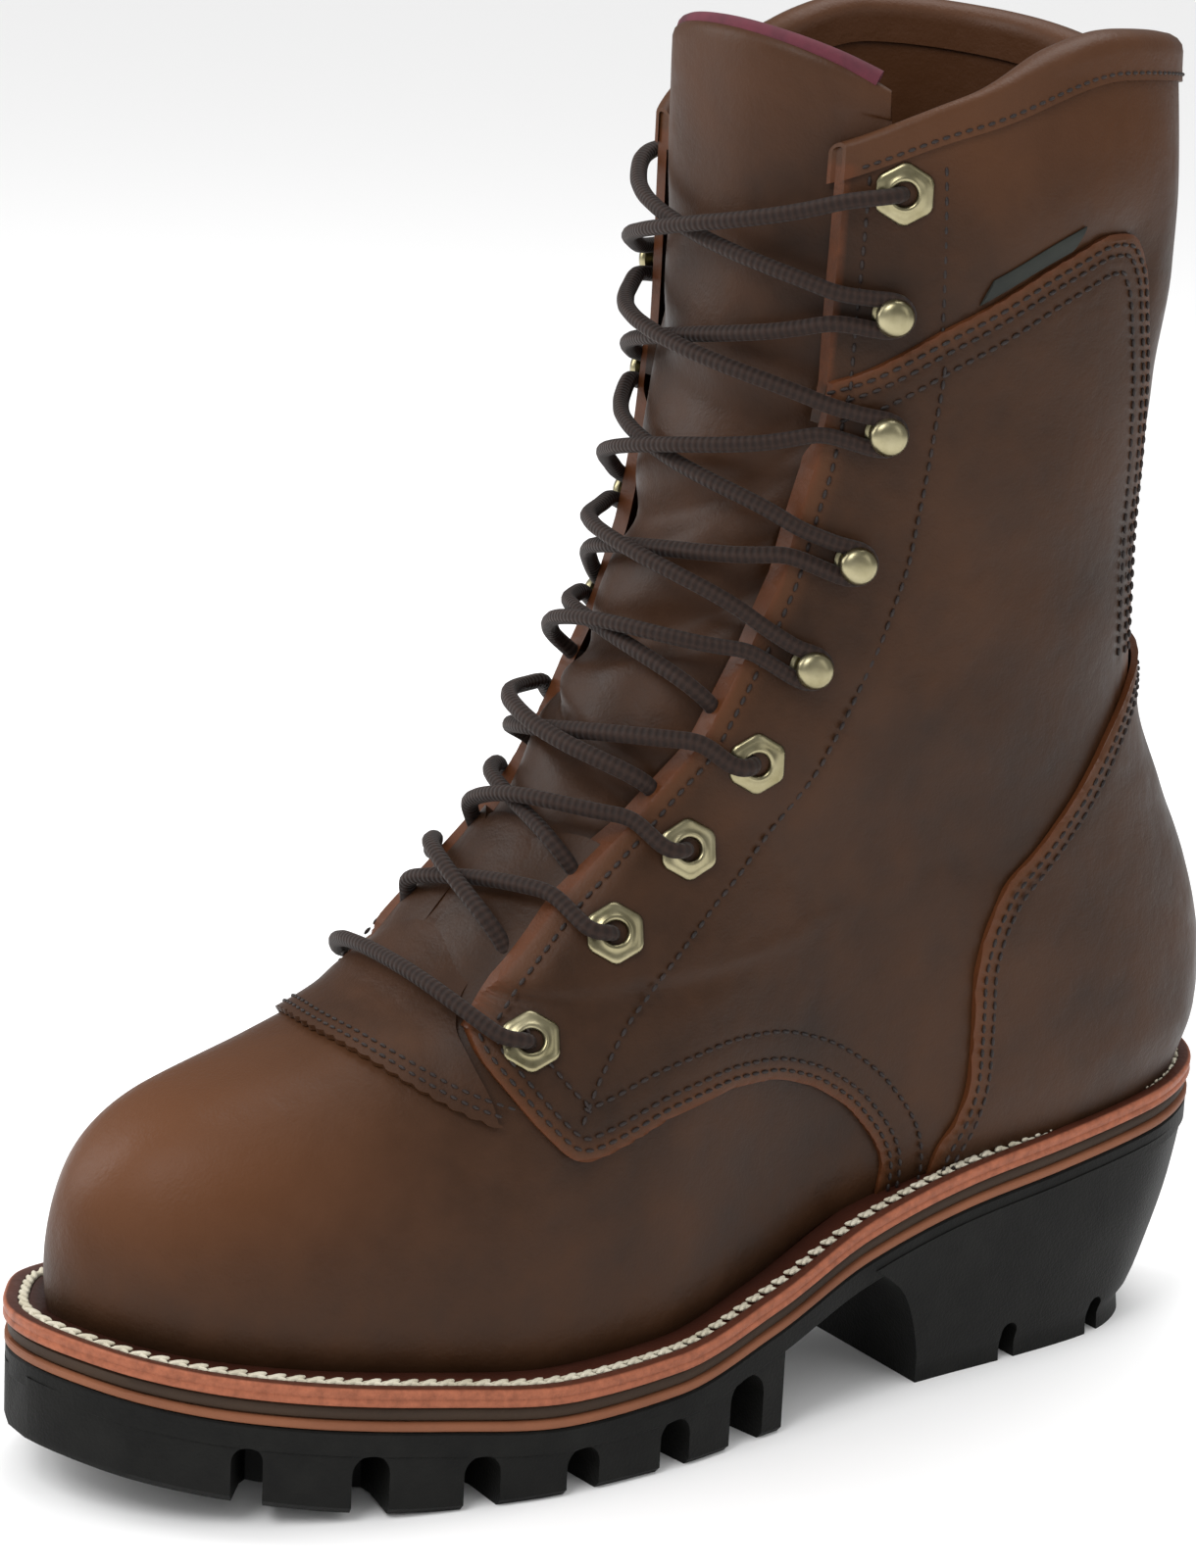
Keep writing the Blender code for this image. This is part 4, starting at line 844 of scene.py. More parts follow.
throat_line = side_line(THROAT_LINE)
vamp_edge = rounded(side_line(VAMP_EDGE), 12)
collar_seam = rounded(side_line(COLLAR_SEAM), 12)
counter_edge = rounded(side_line(COUNTER_EDGE), 12)
rear_stitch = rounded(side_line(REAR_STITCH), 12)
seam_start = throat_line[np.abs(throat_line[:, 1] - collar_seam[0, 1]).argmin()]
eyestay_low = throat_line[throat_line[:, 1] <= seam_start[1]]
eyestay_high = throat_line[throat_line[:, 1] >= seam_start[1]]
print("lines in mm: throat", len(throat_line), "vamp edge", len(vamp_edge), "top of the quarter", len(collar_seam))


def along_throat(place):
    """Point (s, z) of the throat line at a place, and its direction."""
    rows = np.array(THROAT_LINE) * (LENGTH, SHAFT_HEIGHT)
    s, z = list(enumerate(rows[:, 0])), list(enumerate(rows[:, 1]))
    point, ahead, behind = [np.array([float(smooth(s, place + d)), float(smooth(z, place + d))])
                            for d in (0, 0.05, -0.05)]
    return point, (ahead - behind) / np.linalg.norm(ahead - behind)


def eye_place(row):
    """Side-view place (s, z) of an eyelet or hook."""
    place, share = EYE_ROWS[row]
    point, run = along_throat(place)
    return point + share * EYE_INSET * np.array([-run[1], run[0]])


# %% [markdown]
# ## Panels
# A panel is a sheet of points on the last. It is given an outer and an inner face by moving the points out by
# set amounts, and closed round its rim. Both amounts may change from place to place: that is how the leather
# rounds down at a cut, sinks under a row of stitches and folds in the creases. A prism drawn in the side view
# then trims the panel along its lines.


# %% Panel builders
def mesh_object(name, points, faces):
    """Closed mesh object in the frame, with its faces outwards."""
    mesh = bpy.data.meshes.new(name)
    mesh.from_pydata([tuple(p) for p in points], [], faces)
    bm = bmesh.new()
    bm.from_mesh(mesh)
    bmesh.ops.remove_doubles(bm, verts=bm.verts, dist=1e-6)
    if bm.calc_volume(signed=True) < 0:
        bmesh.ops.reverse_faces(bm, faces=bm.faces)
    bm.to_mesh(mesh)
    bm.free()
    return new_object(name, mesh)


def closed_panel(name, grid, out, inward):
    """Solid between a grid of last points moved out by two amounts."""
    normal = normals(grid)
    rows, columns = grid.shape[:2]
    faces_of = [grid + normal * np.broadcast_to(by, grid.shape[:2])[..., None] for by in (out, inward)]
    points = world(np.concatenate([face.reshape(-1, 3) for face in faces_of]))
    index = np.arange(rows * columns).reshape(rows, columns)
    a, b, c, d = index[:-1, :-1].ravel(), index[:-1, 1:].ravel(), index[1:, 1:].ravel(), index[1:, :-1].ravel()
    faces = np.stack([a, b, c, d], -1)
    under = faces[:, ::-1] + rows * columns
    loop = np.concatenate([index[0, :], index[1:, -1], index[-1, -2::-1], index[-2:0:-1, 0]])
    after, down = np.roll(loop, -1), rows * columns
    rim = np.stack([after, loop, loop + down, after + down], -1)
    return mesh_object(name, points, np.concatenate([faces, under, rim]).tolist())


def looped(name, rings, wraps=False):
    """Solid from closed rings of points in the frame: capped at both ends, or wrapped from last to first."""
    count, size = rings.shape[:2]
    faces = []
    for j in range(count if wraps else count - 1):
        here, after = j * size, (j + 1) % count * size
        for i in range(size):
            n = (i + 1) % size
            faces.append((here + i, here + n, after + n, after + i))
    if not wraps:
        faces += [list(range(size))[::-1], list(range((count - 1) * size, count * size))]
    return mesh_object(name, rings.reshape(-1, 3), faces)


def eased(grid, times=14):
    """A grid of points with its small kinks smoothed away, and its rim left where it is."""
    grid = grid.copy()
    for _ in range(times):
        around_it = grid[:-2, 1:-1] + grid[2:, 1:-1] + grid[1:-1, :-2] + grid[1:-1, 2:]
        grid[1:-1, 1:-1] = grid[1:-1, 1:-1] / 2 + around_it / 8
    return grid


def trim(item, line, low=-BESIDE, high=BESIDE):
    """Keep what lies inside a closed side line between two widths x."""
    line = np.asarray(line)
    size = len(line)
    rings = [np.stack([np.full(size, x), line[:, 0], line[:, 1]], -1) for x in (low, high)]
    points = world(np.concatenate(rings))
    faces = [list(range(size)), list(range(size, 2 * size))[::-1]]
    faces += [(i, i + size, (i + 1) % size + size, (i + 1) % size) for i in range(size)]
    cut(item, mesh_object("tool", points, faces), "INTERSECT")


def cut(item, tool, kind):
    """Boolean of a piece with a tool, which is used up."""
    modifier = item.modifiers.new("cut", "BOOLEAN")
    modifier.solver = "MANIFOLD"
    modifier.operation = kind
    modifier.object = tool
    bpy.context.view_layer.update()
    mesh = bpy.data.meshes.new_from_object(item.evaluated_get(bpy.context.evaluated_depsgraph_get()))
    item.modifiers.clear()
    item.data = mesh
    mesh.name = item.name
    bpy.data.objects.remove(tool)


def soft(item, angle=38):
    """Smooth shading with sharp edges kept."""
    item.data.shade_smooth()
    item.data.set_sharp_from_angle(angle=math.radians(angle))
    return item


def paint(item, **masks):
    """Masks from 0 to 1 on the points of a piece, each a function of the places on the last."""
    spots = np.empty(len(item.data.vertices) * 3)
    item.data.vertices.foreach_get("co", spots)
    points = last_place(spots.reshape(-1, 3))
    for name, mask in masks.items():
        values = np.clip(mask(points), 0, 1)
        item.data.attributes.new(name, "FLOAT", "POINT").data.foreach_set("value", values.astype(np.float32))


def dip(distance, wide, deep):
    """Soft trough along a line, from the distance to it."""
    return deep * np.exp(-(distance / wide) ** 2)


def grooves(points, rows):
    """Troughs under rows of stitches."""
    return sum(dip(away(points, row), GROOVE_WIDE, GROOVE_DEEP) for row in rows)


def beside(line, low, high, amount=1.0):
    """Mask that fades with the distance from a side line."""
    return lambda points: amount * (1 - ease(away(points, line), low, high))


def rim_arc(outer, inner, high, count=9):
    """Points over a rim from its outer to its inner face, and half its thickness."""
    middle, half = (outer + inner) / 2, (outer - inner) / 2
    rise = np.array([0, 0, high]) * np.linalg.norm(half, axis=1)[:, None]
    return [middle + half * math.cos(a) + rise * math.sin(a) for a in np.linspace(0, math.pi, count)[1:-1]]


def rolled(distance, radius=0.0012, drop=0.0008):
    """Rounding of the leather's top beside a cut."""
    near = np.clip(1 - distance / radius, 0, 1)
    return drop * near ** 2


def toe_highlight(points):
    """Painted highlight on the top of the toe and the crown of the vamp, where rubbed leather is lighter too."""
    s, z = points[..., 1], points[..., 2]
    return 0.85 * ease(s, 0.215, 0.300) * ease(z, 0.040, 0.078)


def dark_over_welt(points):
    """Darker leather just over the welt."""
    over = points[..., 2] - welt_at(points[..., 1])
    return 0.65 * (1 - ease(over, 0.0, 0.007))


# %% Rows of stitches on a side line
def side_path(line, side, lift):
    """Path on one side of the last for a side line, with directions out of the leather."""
    line = line[form(0.0001 * side, line[:, 0], line[:, 1]) < -0.0006]
    return on_last(side_point(line[:, 0], line[:, 1], side, 0.0), lift + 0 * line[:, 0])


# %% [markdown]
# ## Vamp
# The vamp is drawn as ribs that stand round the sole's edge: down the outer side, round the toe and back along
# the inner side. Each rib climbs from the welt to the crown. Two soft folds cross it where the ball of the foot
# bends, and its crown is lighter: a painted highlight, where rubbed leather is lighter too.

# %% Vamp
RIB_STEP = 0.0012
HINGE = 0.230              # place where the ribs start to turn round the toe
VAMP_BACK = 0.104          # place where the vamp ends under the quarters
VAMP_FOLDS = (             # place, lean with the width, width, depth, and heights where it fades in
    (0.222, 0.05, 0.0042, 0.0006, 0.050, 0.085), (0.205, 0.04, 0.0050, 0.0005, 0.045, 0.075),
)
sides = np.arange(VAMP_BACK, HINGE, RIB_STEP)
turns = np.linspace(0, math.pi, 136)
rib_s = np.concatenate([sides, HINGE + 0 * turns, sides[::-1]])
rib_turn = np.concatenate([0 * sides, turns, math.pi + 0 * sides])
climb = np.linspace(0, 1, 76)
WALL_PART, WALL_HIGH = 0.24, 0.014
up_wall = np.minimum(climb / WALL_PART, 1) * WALL_HIGH
top_lift = np.radians(58 + 30.5 * ease(rib_s, 0.165, 0.206))
lift = np.clip((climb - WALL_PART) / (1 - WALL_PART), 0, 1)[None, :] * top_lift[:, None]


def vamp_grid():
    """Points of the vamp on the last: a rib for each row, from the welt up."""
    across = np.cos(rib_turn)[:, None] * np.cos(lift)
    ahead = np.sin(rib_turn)[:, None] * np.cos(lift)
    s0 = rib_s[:, None] + 0 * lift

    def at(r):
        s = s0 + r * ahead
        return r * across, s, welt_at(s) + up_wall[None, :] + r * np.sin(lift)
    r = root(lambda r: form(*at(r)), 0 * s0 + 0.002, 0 * s0 + 0.105)
    return np.stack(at(r), -1)


grid = vamp_grid()
x, s, z = np.moveaxis(grid, -1, 0)
fold = sum(dip(s - place + lean * np.abs(x) + 0.08 * (z - 0.06), wide, deep) * ease(z, low, high)
           for place, lean, wide, deep, low, high in VAMP_FOLDS)
vamp = soft(closed_panel("vamp", grid, -fold, -LEATHER))
# a painted highlight lightens the top of the toe and the crown of the vamp
paint(vamp, tone=toe_highlight, soil=dark_over_welt)
dressed(vamp, brown, "brown_leather", "upper")

# %% [markdown]
# ## Quarters
# Each quarter runs from the heel to the throat and lies over the vamp. Under the vamp's overlap it is one
# layer thick, and doubled in the eyestay, whose cut edge shows. Its edge rounds down, three rows of stitches
# hold it to the vamp, and shallow grooves follow every row.

# %% Quarters
quarter_region = np.concatenate([
    vamp_edge, eyestay_low, collar_seam[1:],
    np.array([(0.030, collar_seam[-1, 1] - 0.004), (-0.02, 0.150), (-0.02, 0.0), (vamp_edge[0, 0], 0.0)])])
vamp_rows = [inset(vamp_edge, by) for by in (0.0022, 0.0048, 0.0110)]
throat_row = inset(eyestay_low, 0.0040)
seam_rows = [inset(collar_seam, by) for by in (0.0022, 0.0046, 0.0086)]
CREASES = (                # place, height, slope, width, depth and reach of each fold
    (0.112, 0.150, 0.55, 0.0075, 0.0011, 0.030), (0.096, 0.128, 0.50, 0.0080, 0.0009, 0.026),
    (0.140, 0.126, 0.85, 0.0070, 0.0007, 0.024), (0.085, 0.196, 0.15, 0.0100, 0.0006, 0.030),
)
print("rows beside the vamp", [len(row) for row in vamp_rows])


def creases(points):
    """Soft folds of the ankle, as an amount to move the leather out."""
    s, z = points[..., 1], points[..., 2]
    total = 0 * s
    for s0, z0, slope, wide, deep, reach in CREASES:
        across = (z - z0) - slope * (s - s0) - 4.0 * (s - s0) ** 2
        total -= dip(across, wide, deep) * np.exp(-((s - s0) / reach) ** 2)
        total += dip(across - 2.1 * wide, wide * 1.2, deep * 0.6) * np.exp(-((s - s0) / reach) ** 2)
    return total


def tucked(points):
    """Share of the layers' thickness that is left over the welt, where they are drawn in."""
    over = points[..., 2] - welt_at(points[..., 1])
    return 0.5 + 0.5 * ease(over, 0.0, 0.018)


quarters = {}
for side, name in ((1, "outer"), (-1, "inner")):
    grid = eased(side_rows(side, 0.0002, 0.885, 188, 166, 0.2245))
    to_vamp, to_throat, to_seam = away(grid, vamp_edge), away(grid, eyestay_low), away(grid, collar_seam)
    near = np.minimum(np.minimum(to_vamp, to_throat), to_seam)
    groove = grooves(grid, [*vamp_rows, throat_row, *seam_rows, rear_stitch])
    out = (QUARTER - rolled(near)) * tucked(grid) - groove + creases(grid)
    over_vamp = 1 - ease(to_vamp, 0.010, 0.016)
    over_collar = 1 - ease(to_seam, 0.012, 0.018)
    inner = SKIN - (LEATHER + SKIN) * (1 - np.maximum(over_vamp, over_collar))
    quarter = closed_panel("quarter_" + name, grid, out, inner)
    trim(quarter, quarter_region, 0.0008 * side, BESIDE * side)
    near_edge = np.concatenate([vamp_edge, eyestay_low, collar_seam])
    paint(quarter, edge=beside(near_edge, 0.0001, 0.0010), soil=dark_over_welt,
          tone=beside(near_edge, 0.001, 0.006, 0.4))
    quarters[side] = dressed(soft(quarter), brown, "brown_leather", "upper")

# %% [markdown]
# ## Collar and rim
# The collar is the padded band over the quarters. It runs down behind them to the counter, swells out over the
# seam and carries the last hook and eyelet in front, where it is flat. Its wall is a loop at each place round
# the leg: up outside, over the rounded rim and down inside. A turned strip of leather covers the rim.


# %% Collar
def wall_inside(points):
    """Thickness inwards of the collar's wall: padded behind the eyestay."""
    up = ease(points[..., 2], PAD_BOTTOM, PAD_BOTTOM + PAD_FADE)
    return LEATHER + PAD * up * ease(-points[..., 1], -PAD_FRONT, PAD_FADE - PAD_FRONT)


def collar_out(points):
    """How far the collar's face stands out from the last."""
    s, z = points[..., 1], points[..., 2]
    seam = np.interp(s, collar_seam[::-1, 0], collar_seam[::-1, 1])
    over = np.clip((z - seam) / np.maximum(0.306 - seam, 0.02), 0, 1)
    swell = np.sin(math.pi * over ** 0.8) * 0.0030 * ease(-s, -0.128, -0.104) * ease(z, 0.235, 0.262)
    return 0.00002 + swell - dip(away(points, rear_stitch), 0.0007, 0.0002) * ease(z, 0.23, 0.25)


columns = np.radians(np.linspace(27, 333, 300))
levels = np.linspace(0.335, 1.0, 84)
face = level_rows(levels * RISE, np.tile(columns, (len(levels), 1)))
normal = normals(face)
outside = world(face + normal * collar_out(face)[..., None])
inside = world(face - normal * wall_inside(face)[..., None])
arc = rim_arc(outside[-1], inside[-1], 0.75)
rings = np.concatenate([outside, arc, inside[::-1]]).transpose(1, 0, 2)
collar = looped("collar", rings)
under_seam = inset(collar_seam, 0.010)
back_low = [(0.075, 0.150), (BEHIND, 0.150), (BEHIND, ABOVE), (throat_line[-1, 0] + 0.0002, ABOVE)]
last = (np.interp(under_seam[0, 1], throat_line[:, 1], throat_line[:, 0]), under_seam[0, 1])
trim(collar, np.concatenate([under_seam, back_low, eyestay_high[::-1], [last]]))
paint(collar, edge=beside(eyestay_high, 0.0002, 0.0012),
      tone=lambda p: 0.35 * ease(p[..., 2], 0.262, 0.300))
dressed(soft(collar), brown, "brown_leather", "upper")

# %% Strip over the rim
STRIP_OUT, STRIP_IN, STRIP = 0.0068, 0.0055, 0.0009
top_levels = 1 - np.linspace(STRIP_OUT, 0, 8) / RISE
face = level_rows(top_levels * RISE, np.tile(columns, (8, 1)))
normal = normals(face)
flip = np.array([1, -1, 1])
outside = world(face + normal * collar_out(face)[..., None])
inside = world(face - normal * wall_inside(face)[..., None])[::-1]
path = np.concatenate([outside, arc, inside])
way = (outside[-1] - inside[0]) / np.linalg.norm(outside[-1] - inside[0], axis=1)[:, None]
over_rim = [way * math.cos(a) + np.array([0, 0, 1]) * math.sin(a) for a in np.linspace(0, math.pi, 9)[1:-1]]
out_way = np.concatenate([normal * flip, over_rim, -(normal * flip)[::-1]])
rings = np.concatenate([path + out_way * SKIN, (path + out_way * STRIP)[::-1]]).transpose(1, 0, 2)
strip = looped("rim_strip", rings)
ahead = throat_line[throat_line[:, 1] > 0.25] + (0.0006, 0)
trim(strip, np.concatenate([ahead, [(ahead[-1, 0], ABOVE), (BEHIND, ABOVE), (BEHIND, 0.25)]]))
paint(strip, edge=beside(throat_line, 0.0004, 0.0020), tone=lambda p: 0.4 + 0 * p[..., 0])
dressed(soft(strip), overlay, "brown_leather", "upper")

# %% [markdown]
# ## Lining, counter and backstay
# A thin lining closes the boot inside, below the padding. The counter is a thick second layer cupped round the
# heel and its cut edge stands clear of the quarter. A narrow strip covers the back seam above it.

# %% Lining
levels = np.linspace(0.001, (0.222 - RIM_BASE) / RISE + 0.01, 70)
columns = np.radians(np.linspace(40, 320, 150))
grid = level_rows(levels * RISE, np.tile(columns, (len(levels), 1)))
sock = closed_panel("lining", grid, -LEATHER - 0.0001, -LEATHER - 0.0007)
behind = throat_line - (0.004, 0)
region = [(behind[-1, 0], ABOVE), (BEHIND, ABOVE), (BEHIND, 0.0), (behind[0, 0], 0.0)]
trim(sock, np.concatenate([behind, region]))
dressed(soft(sock), lining, "brown_leather", "upper")

# %% Heel counter
levels = np.linspace(0.0004, 0.52, 120)
columns = np.radians(np.linspace(72, 288, 230))
grid = level_rows(levels * RISE, np.tile(columns, (len(levels), 1)))
to_edge = away(grid, counter_edge)
counter_rows = [inset(counter_edge, by) for by in (0.0024, 0.0052)]
out = (QUARTER + COUNTER - rolled(to_edge, 0.0014, 0.0009)) * tucked(grid)
out = out - grooves(grid, counter_rows) + creases(grid)
counter = closed_panel("heel_counter_cup", grid, out, (QUARTER + SKIN) * tucked(grid) + creases(grid))
cup = [(BEHIND, counter_edge[-1, 1]), (BEHIND, 0.0), (counter_edge[0, 0], 0.0)]
trim(counter, np.concatenate([counter_edge, cup]))
paint(counter, edge=beside(counter_edge, 0.0002, 0.0014), soil=dark_over_welt,
      tone=beside(counter_edge, 0.001, 0.007, 0.5))
dressed(soft(counter), brown, "dark_leather", "heel_counter")

# %% Backstay
STAY_LOW, STAY_HIGH, STAY_HALF, STAY_RADIUS = 0.166, 0.262, 0.0105, 0.040
wide = np.linspace(-1, 1, 17) * STAY_HALF
turn = math.pi - wide / STAY_RADIUS
grid = np.array([level_rows(np.array([z - RIM_BASE]), turn[None, :])[0]
                 for z in np.linspace(STAY_LOW, STAY_HIGH, 70)])
stay_rows = [on_last(grid[2:-2, i], 0.0018 + collar_out(grid[2:-2, i])) for i in (2, -3)]
rounding = rolled(np.abs(STAY_HALF - np.abs(wide)), 0.002, 0.0007)[None, :]
stay = closed_panel("backstay_strip", grid, 0.0019 + collar_out(grid) - rounding, 0.0001 + collar_out(grid))
paint(stay, edge=lambda p: ease(np.abs(p[..., 0]), STAY_HALF - 0.002, STAY_HALF))
dressed(soft(stay), overlay, "brown_leather", "backstay")

# %% [markdown]
# ## Tongue and throat piece
# The tongue is a soft padded tab behind the eyestays. It swells forwards between them and sags in a few large
# folds where the ankle bends. Its knitted lining shows as a roll along the top. The throat piece is a thin tab
# on the front of the tongue, and its pinked front edge is sewn to the vamp.


# %% Tongue
TONGUE_FOLDS = (           # place up the front, slope, width and depth of each fold
    (3.05, -0.75, 0.14, 0.0042), (3.80, 0.60, 0.17, 0.0040), (4.55, 0.45, 0.15, 0.0034),
    (5.20, -0.40, 0.18, 0.0022), (5.9, 0.25, 0.22, 0.0012),
)


def tongue_front(up, turn):
    """Offset from the last of the tongue's front face."""
    opening = np.radians(smooth(table(TONGUE_ROWS, 2), up))
    swell = TONGUE_SWELL * np.clip(1 - (turn / opening) ** 2, 0, 1)
    return swell * np.clip(up - TONGUE_ROWS[0][0], 0, 1) - LEATHER - TONGUE_GAP


def tongue_folds(up, turn):
    """Large soft folds of the tongue's face, as an amount inwards."""
    total = 0 * (up + turn)
    for place, slope, wide, deep in TONGUE_FOLDS:
        total = total + dip(up - place - slope * turn - 0.8 * turn ** 2, wide, deep)
    return total


ups = np.linspace(TONGUE_ROWS[0][0], TONGUE_ROWS[-1][0], 150)
sides = np.linspace(-1, 1, 64)
up, across = np.meshgrid(ups, sides, indexing="ij")
turn = np.radians(across * smooth(table(TONGUE_ROWS, 1), up))
front = tongue_front(up, turn)
thick = TONGUE * (1 - TONGUE_THIN * np.abs(across) ** 3)
rise_top = ease(up, 6.4, 7.0)
outer = fan(up, turn, front - tongue_folds(up, turn) * (1 - 0.4 * np.abs(across)))
inner = fan(up, turn, front - thick)
lift = TONGUE_TOP - outer[-1, :, 2].max()
for face in (outer, inner):
    face[..., 2] += (lift - TONGUE_DIP * across ** 2) * rise_top
sheet = world(np.concatenate([outer, rim_arc(outer[-1], inner[-1], 0.9, 7), inner[::-1]]))
tongue = looped("tongue_pad", sheet.transpose(1, 0, 2))
paint(tongue, tone=lambda p: 0.25 * ease(p[..., 2], 0.270, 0.305))
dressed(soft(tongue, 60), overlay, "dark_leather", "tongue")


# %% Tubes
def tube(name, path, radius, sides, squash=1.0):
    """Round tube along a path in the frame, with UVs in metres along and from 0 to 1 round it."""
    path = np.asarray(path, float)
    run = np.gradient(path, axis=0)
    run /= np.linalg.norm(run, axis=1)[:, None]
    side = np.cross(run[0], (0.3, 0.2, 0.9))
    frames = []
    for way in run:
        side = side - way * (side @ way)
        side /= np.linalg.norm(side)
        frames.append((side, np.cross(way, side)))
    turn = 2 * math.pi * np.arange(sides) / sides
    rings = np.array([p + radius * (np.cos(turn)[:, None] * a + squash * np.sin(turn)[:, None] * b)
                      for p, (a, b) in zip(path, frames)])
    item = looped(name, rings)
    length = travelled(path)
    layer = item.data.uv_layers.new(name="cord")
    values = np.zeros((len(item.data.loops), 2))
    for polygon in item.data.polygons:
        corners = list(polygon.vertices)
        wraps = {corner % sides for corner in corners} >= {0, sides - 1} and len(corners) == 4
        for index, corner in zip(polygon.loop_indices, corners):
            around_it = corner % sides
            values[index] = length[corner // sides], (sides if wraps and around_it == 0 else around_it) / sides
    layer.data.foreach_set("uv", values.ravel())
    return item


roll_path = world((outer[-1] * 0.45 + inner[-1] * 0.55) + np.array([0, 0, 0.0020]))[2:-2]
roll = tube("tongue_roll", evenly(roll_path, 0.0012), 0.0021, 14)
dressed(soft(roll, 80), knit, "dark_leather", "tongue")

# %% Throat piece
ups = np.linspace(THROAT_PIECE_ROWS[0][0], THROAT_PIECE_ROWS[-1][0], 90)
sides = np.linspace(-1, 1, 161)
row, across = np.meshgrid(ups, sides, indexing="ij")
turn = np.radians(across * smooth(table(THROAT_PIECE_ROWS, 2), row))
up = row + smooth(table(THROAT_PIECE_ROWS, 1), row) * across ** 2
teeth = np.abs(np.sin(across * math.pi * 14))
up = up + 0.035 * (1 - teeth) * (1 - ease(row, 0.12, 0.22))
settled = ease(up, 1.00, 1.75)
low = THROAT_PIECE_LIFT * (1 - settled) + (tongue_front(up, turn) + 0.0001) * settled
corner = 1 - ease(row, 2.25, 2.45)
turn = turn * (0.80 + 0.20 * corner)
grid = fan(up, turn, 0 * up)
throat = closed_panel("throat_tab", grid, low + THROAT_PIECE, low)
dressed(soft(throat), overlay, "dark_leather", "throat_piece")
print("throat piece from", last_place(world(grid[0, 80])), "to", grid[-1, 80])

# %% [markdown]
# ## Welt and sole
# The layers of the sole follow one outline. The welt has a groove for its lock stitch and a rounded edge in
# bare copper-coloured leather. Under it lie a dark midsole, a thin tan slip and the rubber, which is cut
# through from the sides into lugs, with the heel block behind the arch.

# %% Welt
MIDSOLE, SLIP_SOLE, WEB, INSOLE = 0.0030, 0.0020, 0.0060, 0.0040
STITCH_INSET = 0.0044
SOLE_SIDES = 420


def outline(inward):
    """Points (x, s) round the sole from the back of the heel, outer side first, moved in."""
    turn = 2 * math.pi * np.arange(SOLE_SIDES) / SOLE_SIDES
    station, side = (1 - np.cos(turn)) / 2, np.where(turn < math.pi, 1, -1)
    points = np.stack([side * half_width(station, side), station * LENGTH], -1)
    run = np.roll(points, -1, 0) - np.roll(points, 1, 0)
    run /= np.linalg.norm(run, axis=1)[:, None]
    return points - inward * np.stack([run[:, 1], -run[:, 0]], -1)


def sole_ring(inward, down):
    """Ring in the frame at a distance in from the sole's outline and down from the welt's top."""
    edge = outline(inward)
    return world(np.column_stack([edge, welt_at(edge[:, 1]) - down]))


def sole_layer(name, profile, wraps=False):
    """Layer of the sole from its edge's profile of (inset, distance down); a band where it wraps."""
    return looped(name, np.array([sole_ring(*spot) for spot in profile]), wraps)


INNER_EDGE = WELT_MARGIN + LEATHER + 2 * GAP
groove = [(STITCH_INSET + 0.0013 * math.cos(a), 0.0009 * math.sin(a)) for a in np.linspace(0, math.pi, 7)]
rim = [(0.0009 - 0.0009 * math.sin(a), 0.0009 - 0.0009 * math.cos(a)) for a in np.linspace(0, math.pi / 2, 5)]
foot = [(0.0007 - 0.0007 * math.cos(a), WELT - 0.0007 + 0.0007 * math.sin(a))
        for a in np.linspace(0, math.pi / 2, 4)]
side_cut = [(0.0001, 0.0019), (0.00035, 0.0024), (0.0001, 0.0029)]
profile = [(INNER_EDGE, 0), (0.0075, 0), *groove, *rim, *side_cut, *foot, (INNER_EDGE, WELT)]
welt = sole_layer("welt_strip", profile, wraps=True)


def rim_distance(points):
    """Distance in from the sole's outline, about."""
    station = np.clip(points[:, 1] / LENGTH, 0.0005, 0.9995)
    side = np.sign(points[:, 0])
    ahead, behind = [half_width(np.clip(station + d, 0, 1), side) for d in (0.002, -0.002)]
    slope = (ahead - behind) / (0.004 * LENGTH)
    return (half_width(station, side) - np.abs(points[:, 0])) / np.sqrt(1 + slope ** 2)


# the welt's top is darker in the band next to the upper
paint(welt, edge=lambda p: 1 - ease(rim_distance(p), 0.0002, 0.0011),
      soil=lambda p: 0.9 * ease(rim_distance(p), 0.0065, 0.0085))
dressed(soft(welt, 50), welt_finish, "welt_leather", "welt")

# %% Midsole, slip sole and insole
def edge_profile(down, thick, back, corner):
    """Edge of a layer that starts a distance down, set back, with cut corners."""
    rows = [(0.0050, 0), (back + corner, 0), (back, corner)]
    rows += [(back, thick - corner), (back + corner, thick), (0.0050, thick)]
    return [(inward, down + deep) for inward, deep in rows]


midsole = sole_layer("midsole_layer", edge_profile(WELT + GAP, MIDSOLE, 0.0011, 0.0005))
dressed(soft(midsole, 50), midsole_finish, "midsole_leather", "midsole")
slip = sole_layer("slip_layer", edge_profile(WELT + MIDSOLE + 2 * GAP, SLIP_SOLE, 0.0004, 0.0004))
dressed(soft(slip, 50), slip_finish, "slip_leather", "slip_sole")
within = WELT_MARGIN + LEATHER + 12 * GAP
insole = sole_layer("insole_board", [(within + 0.001, -INSOLE), (within, 0.0008 - INSOLE), (within, WELT)])
dressed(soft(insole, 50), lining, "dark_leather", "insole")

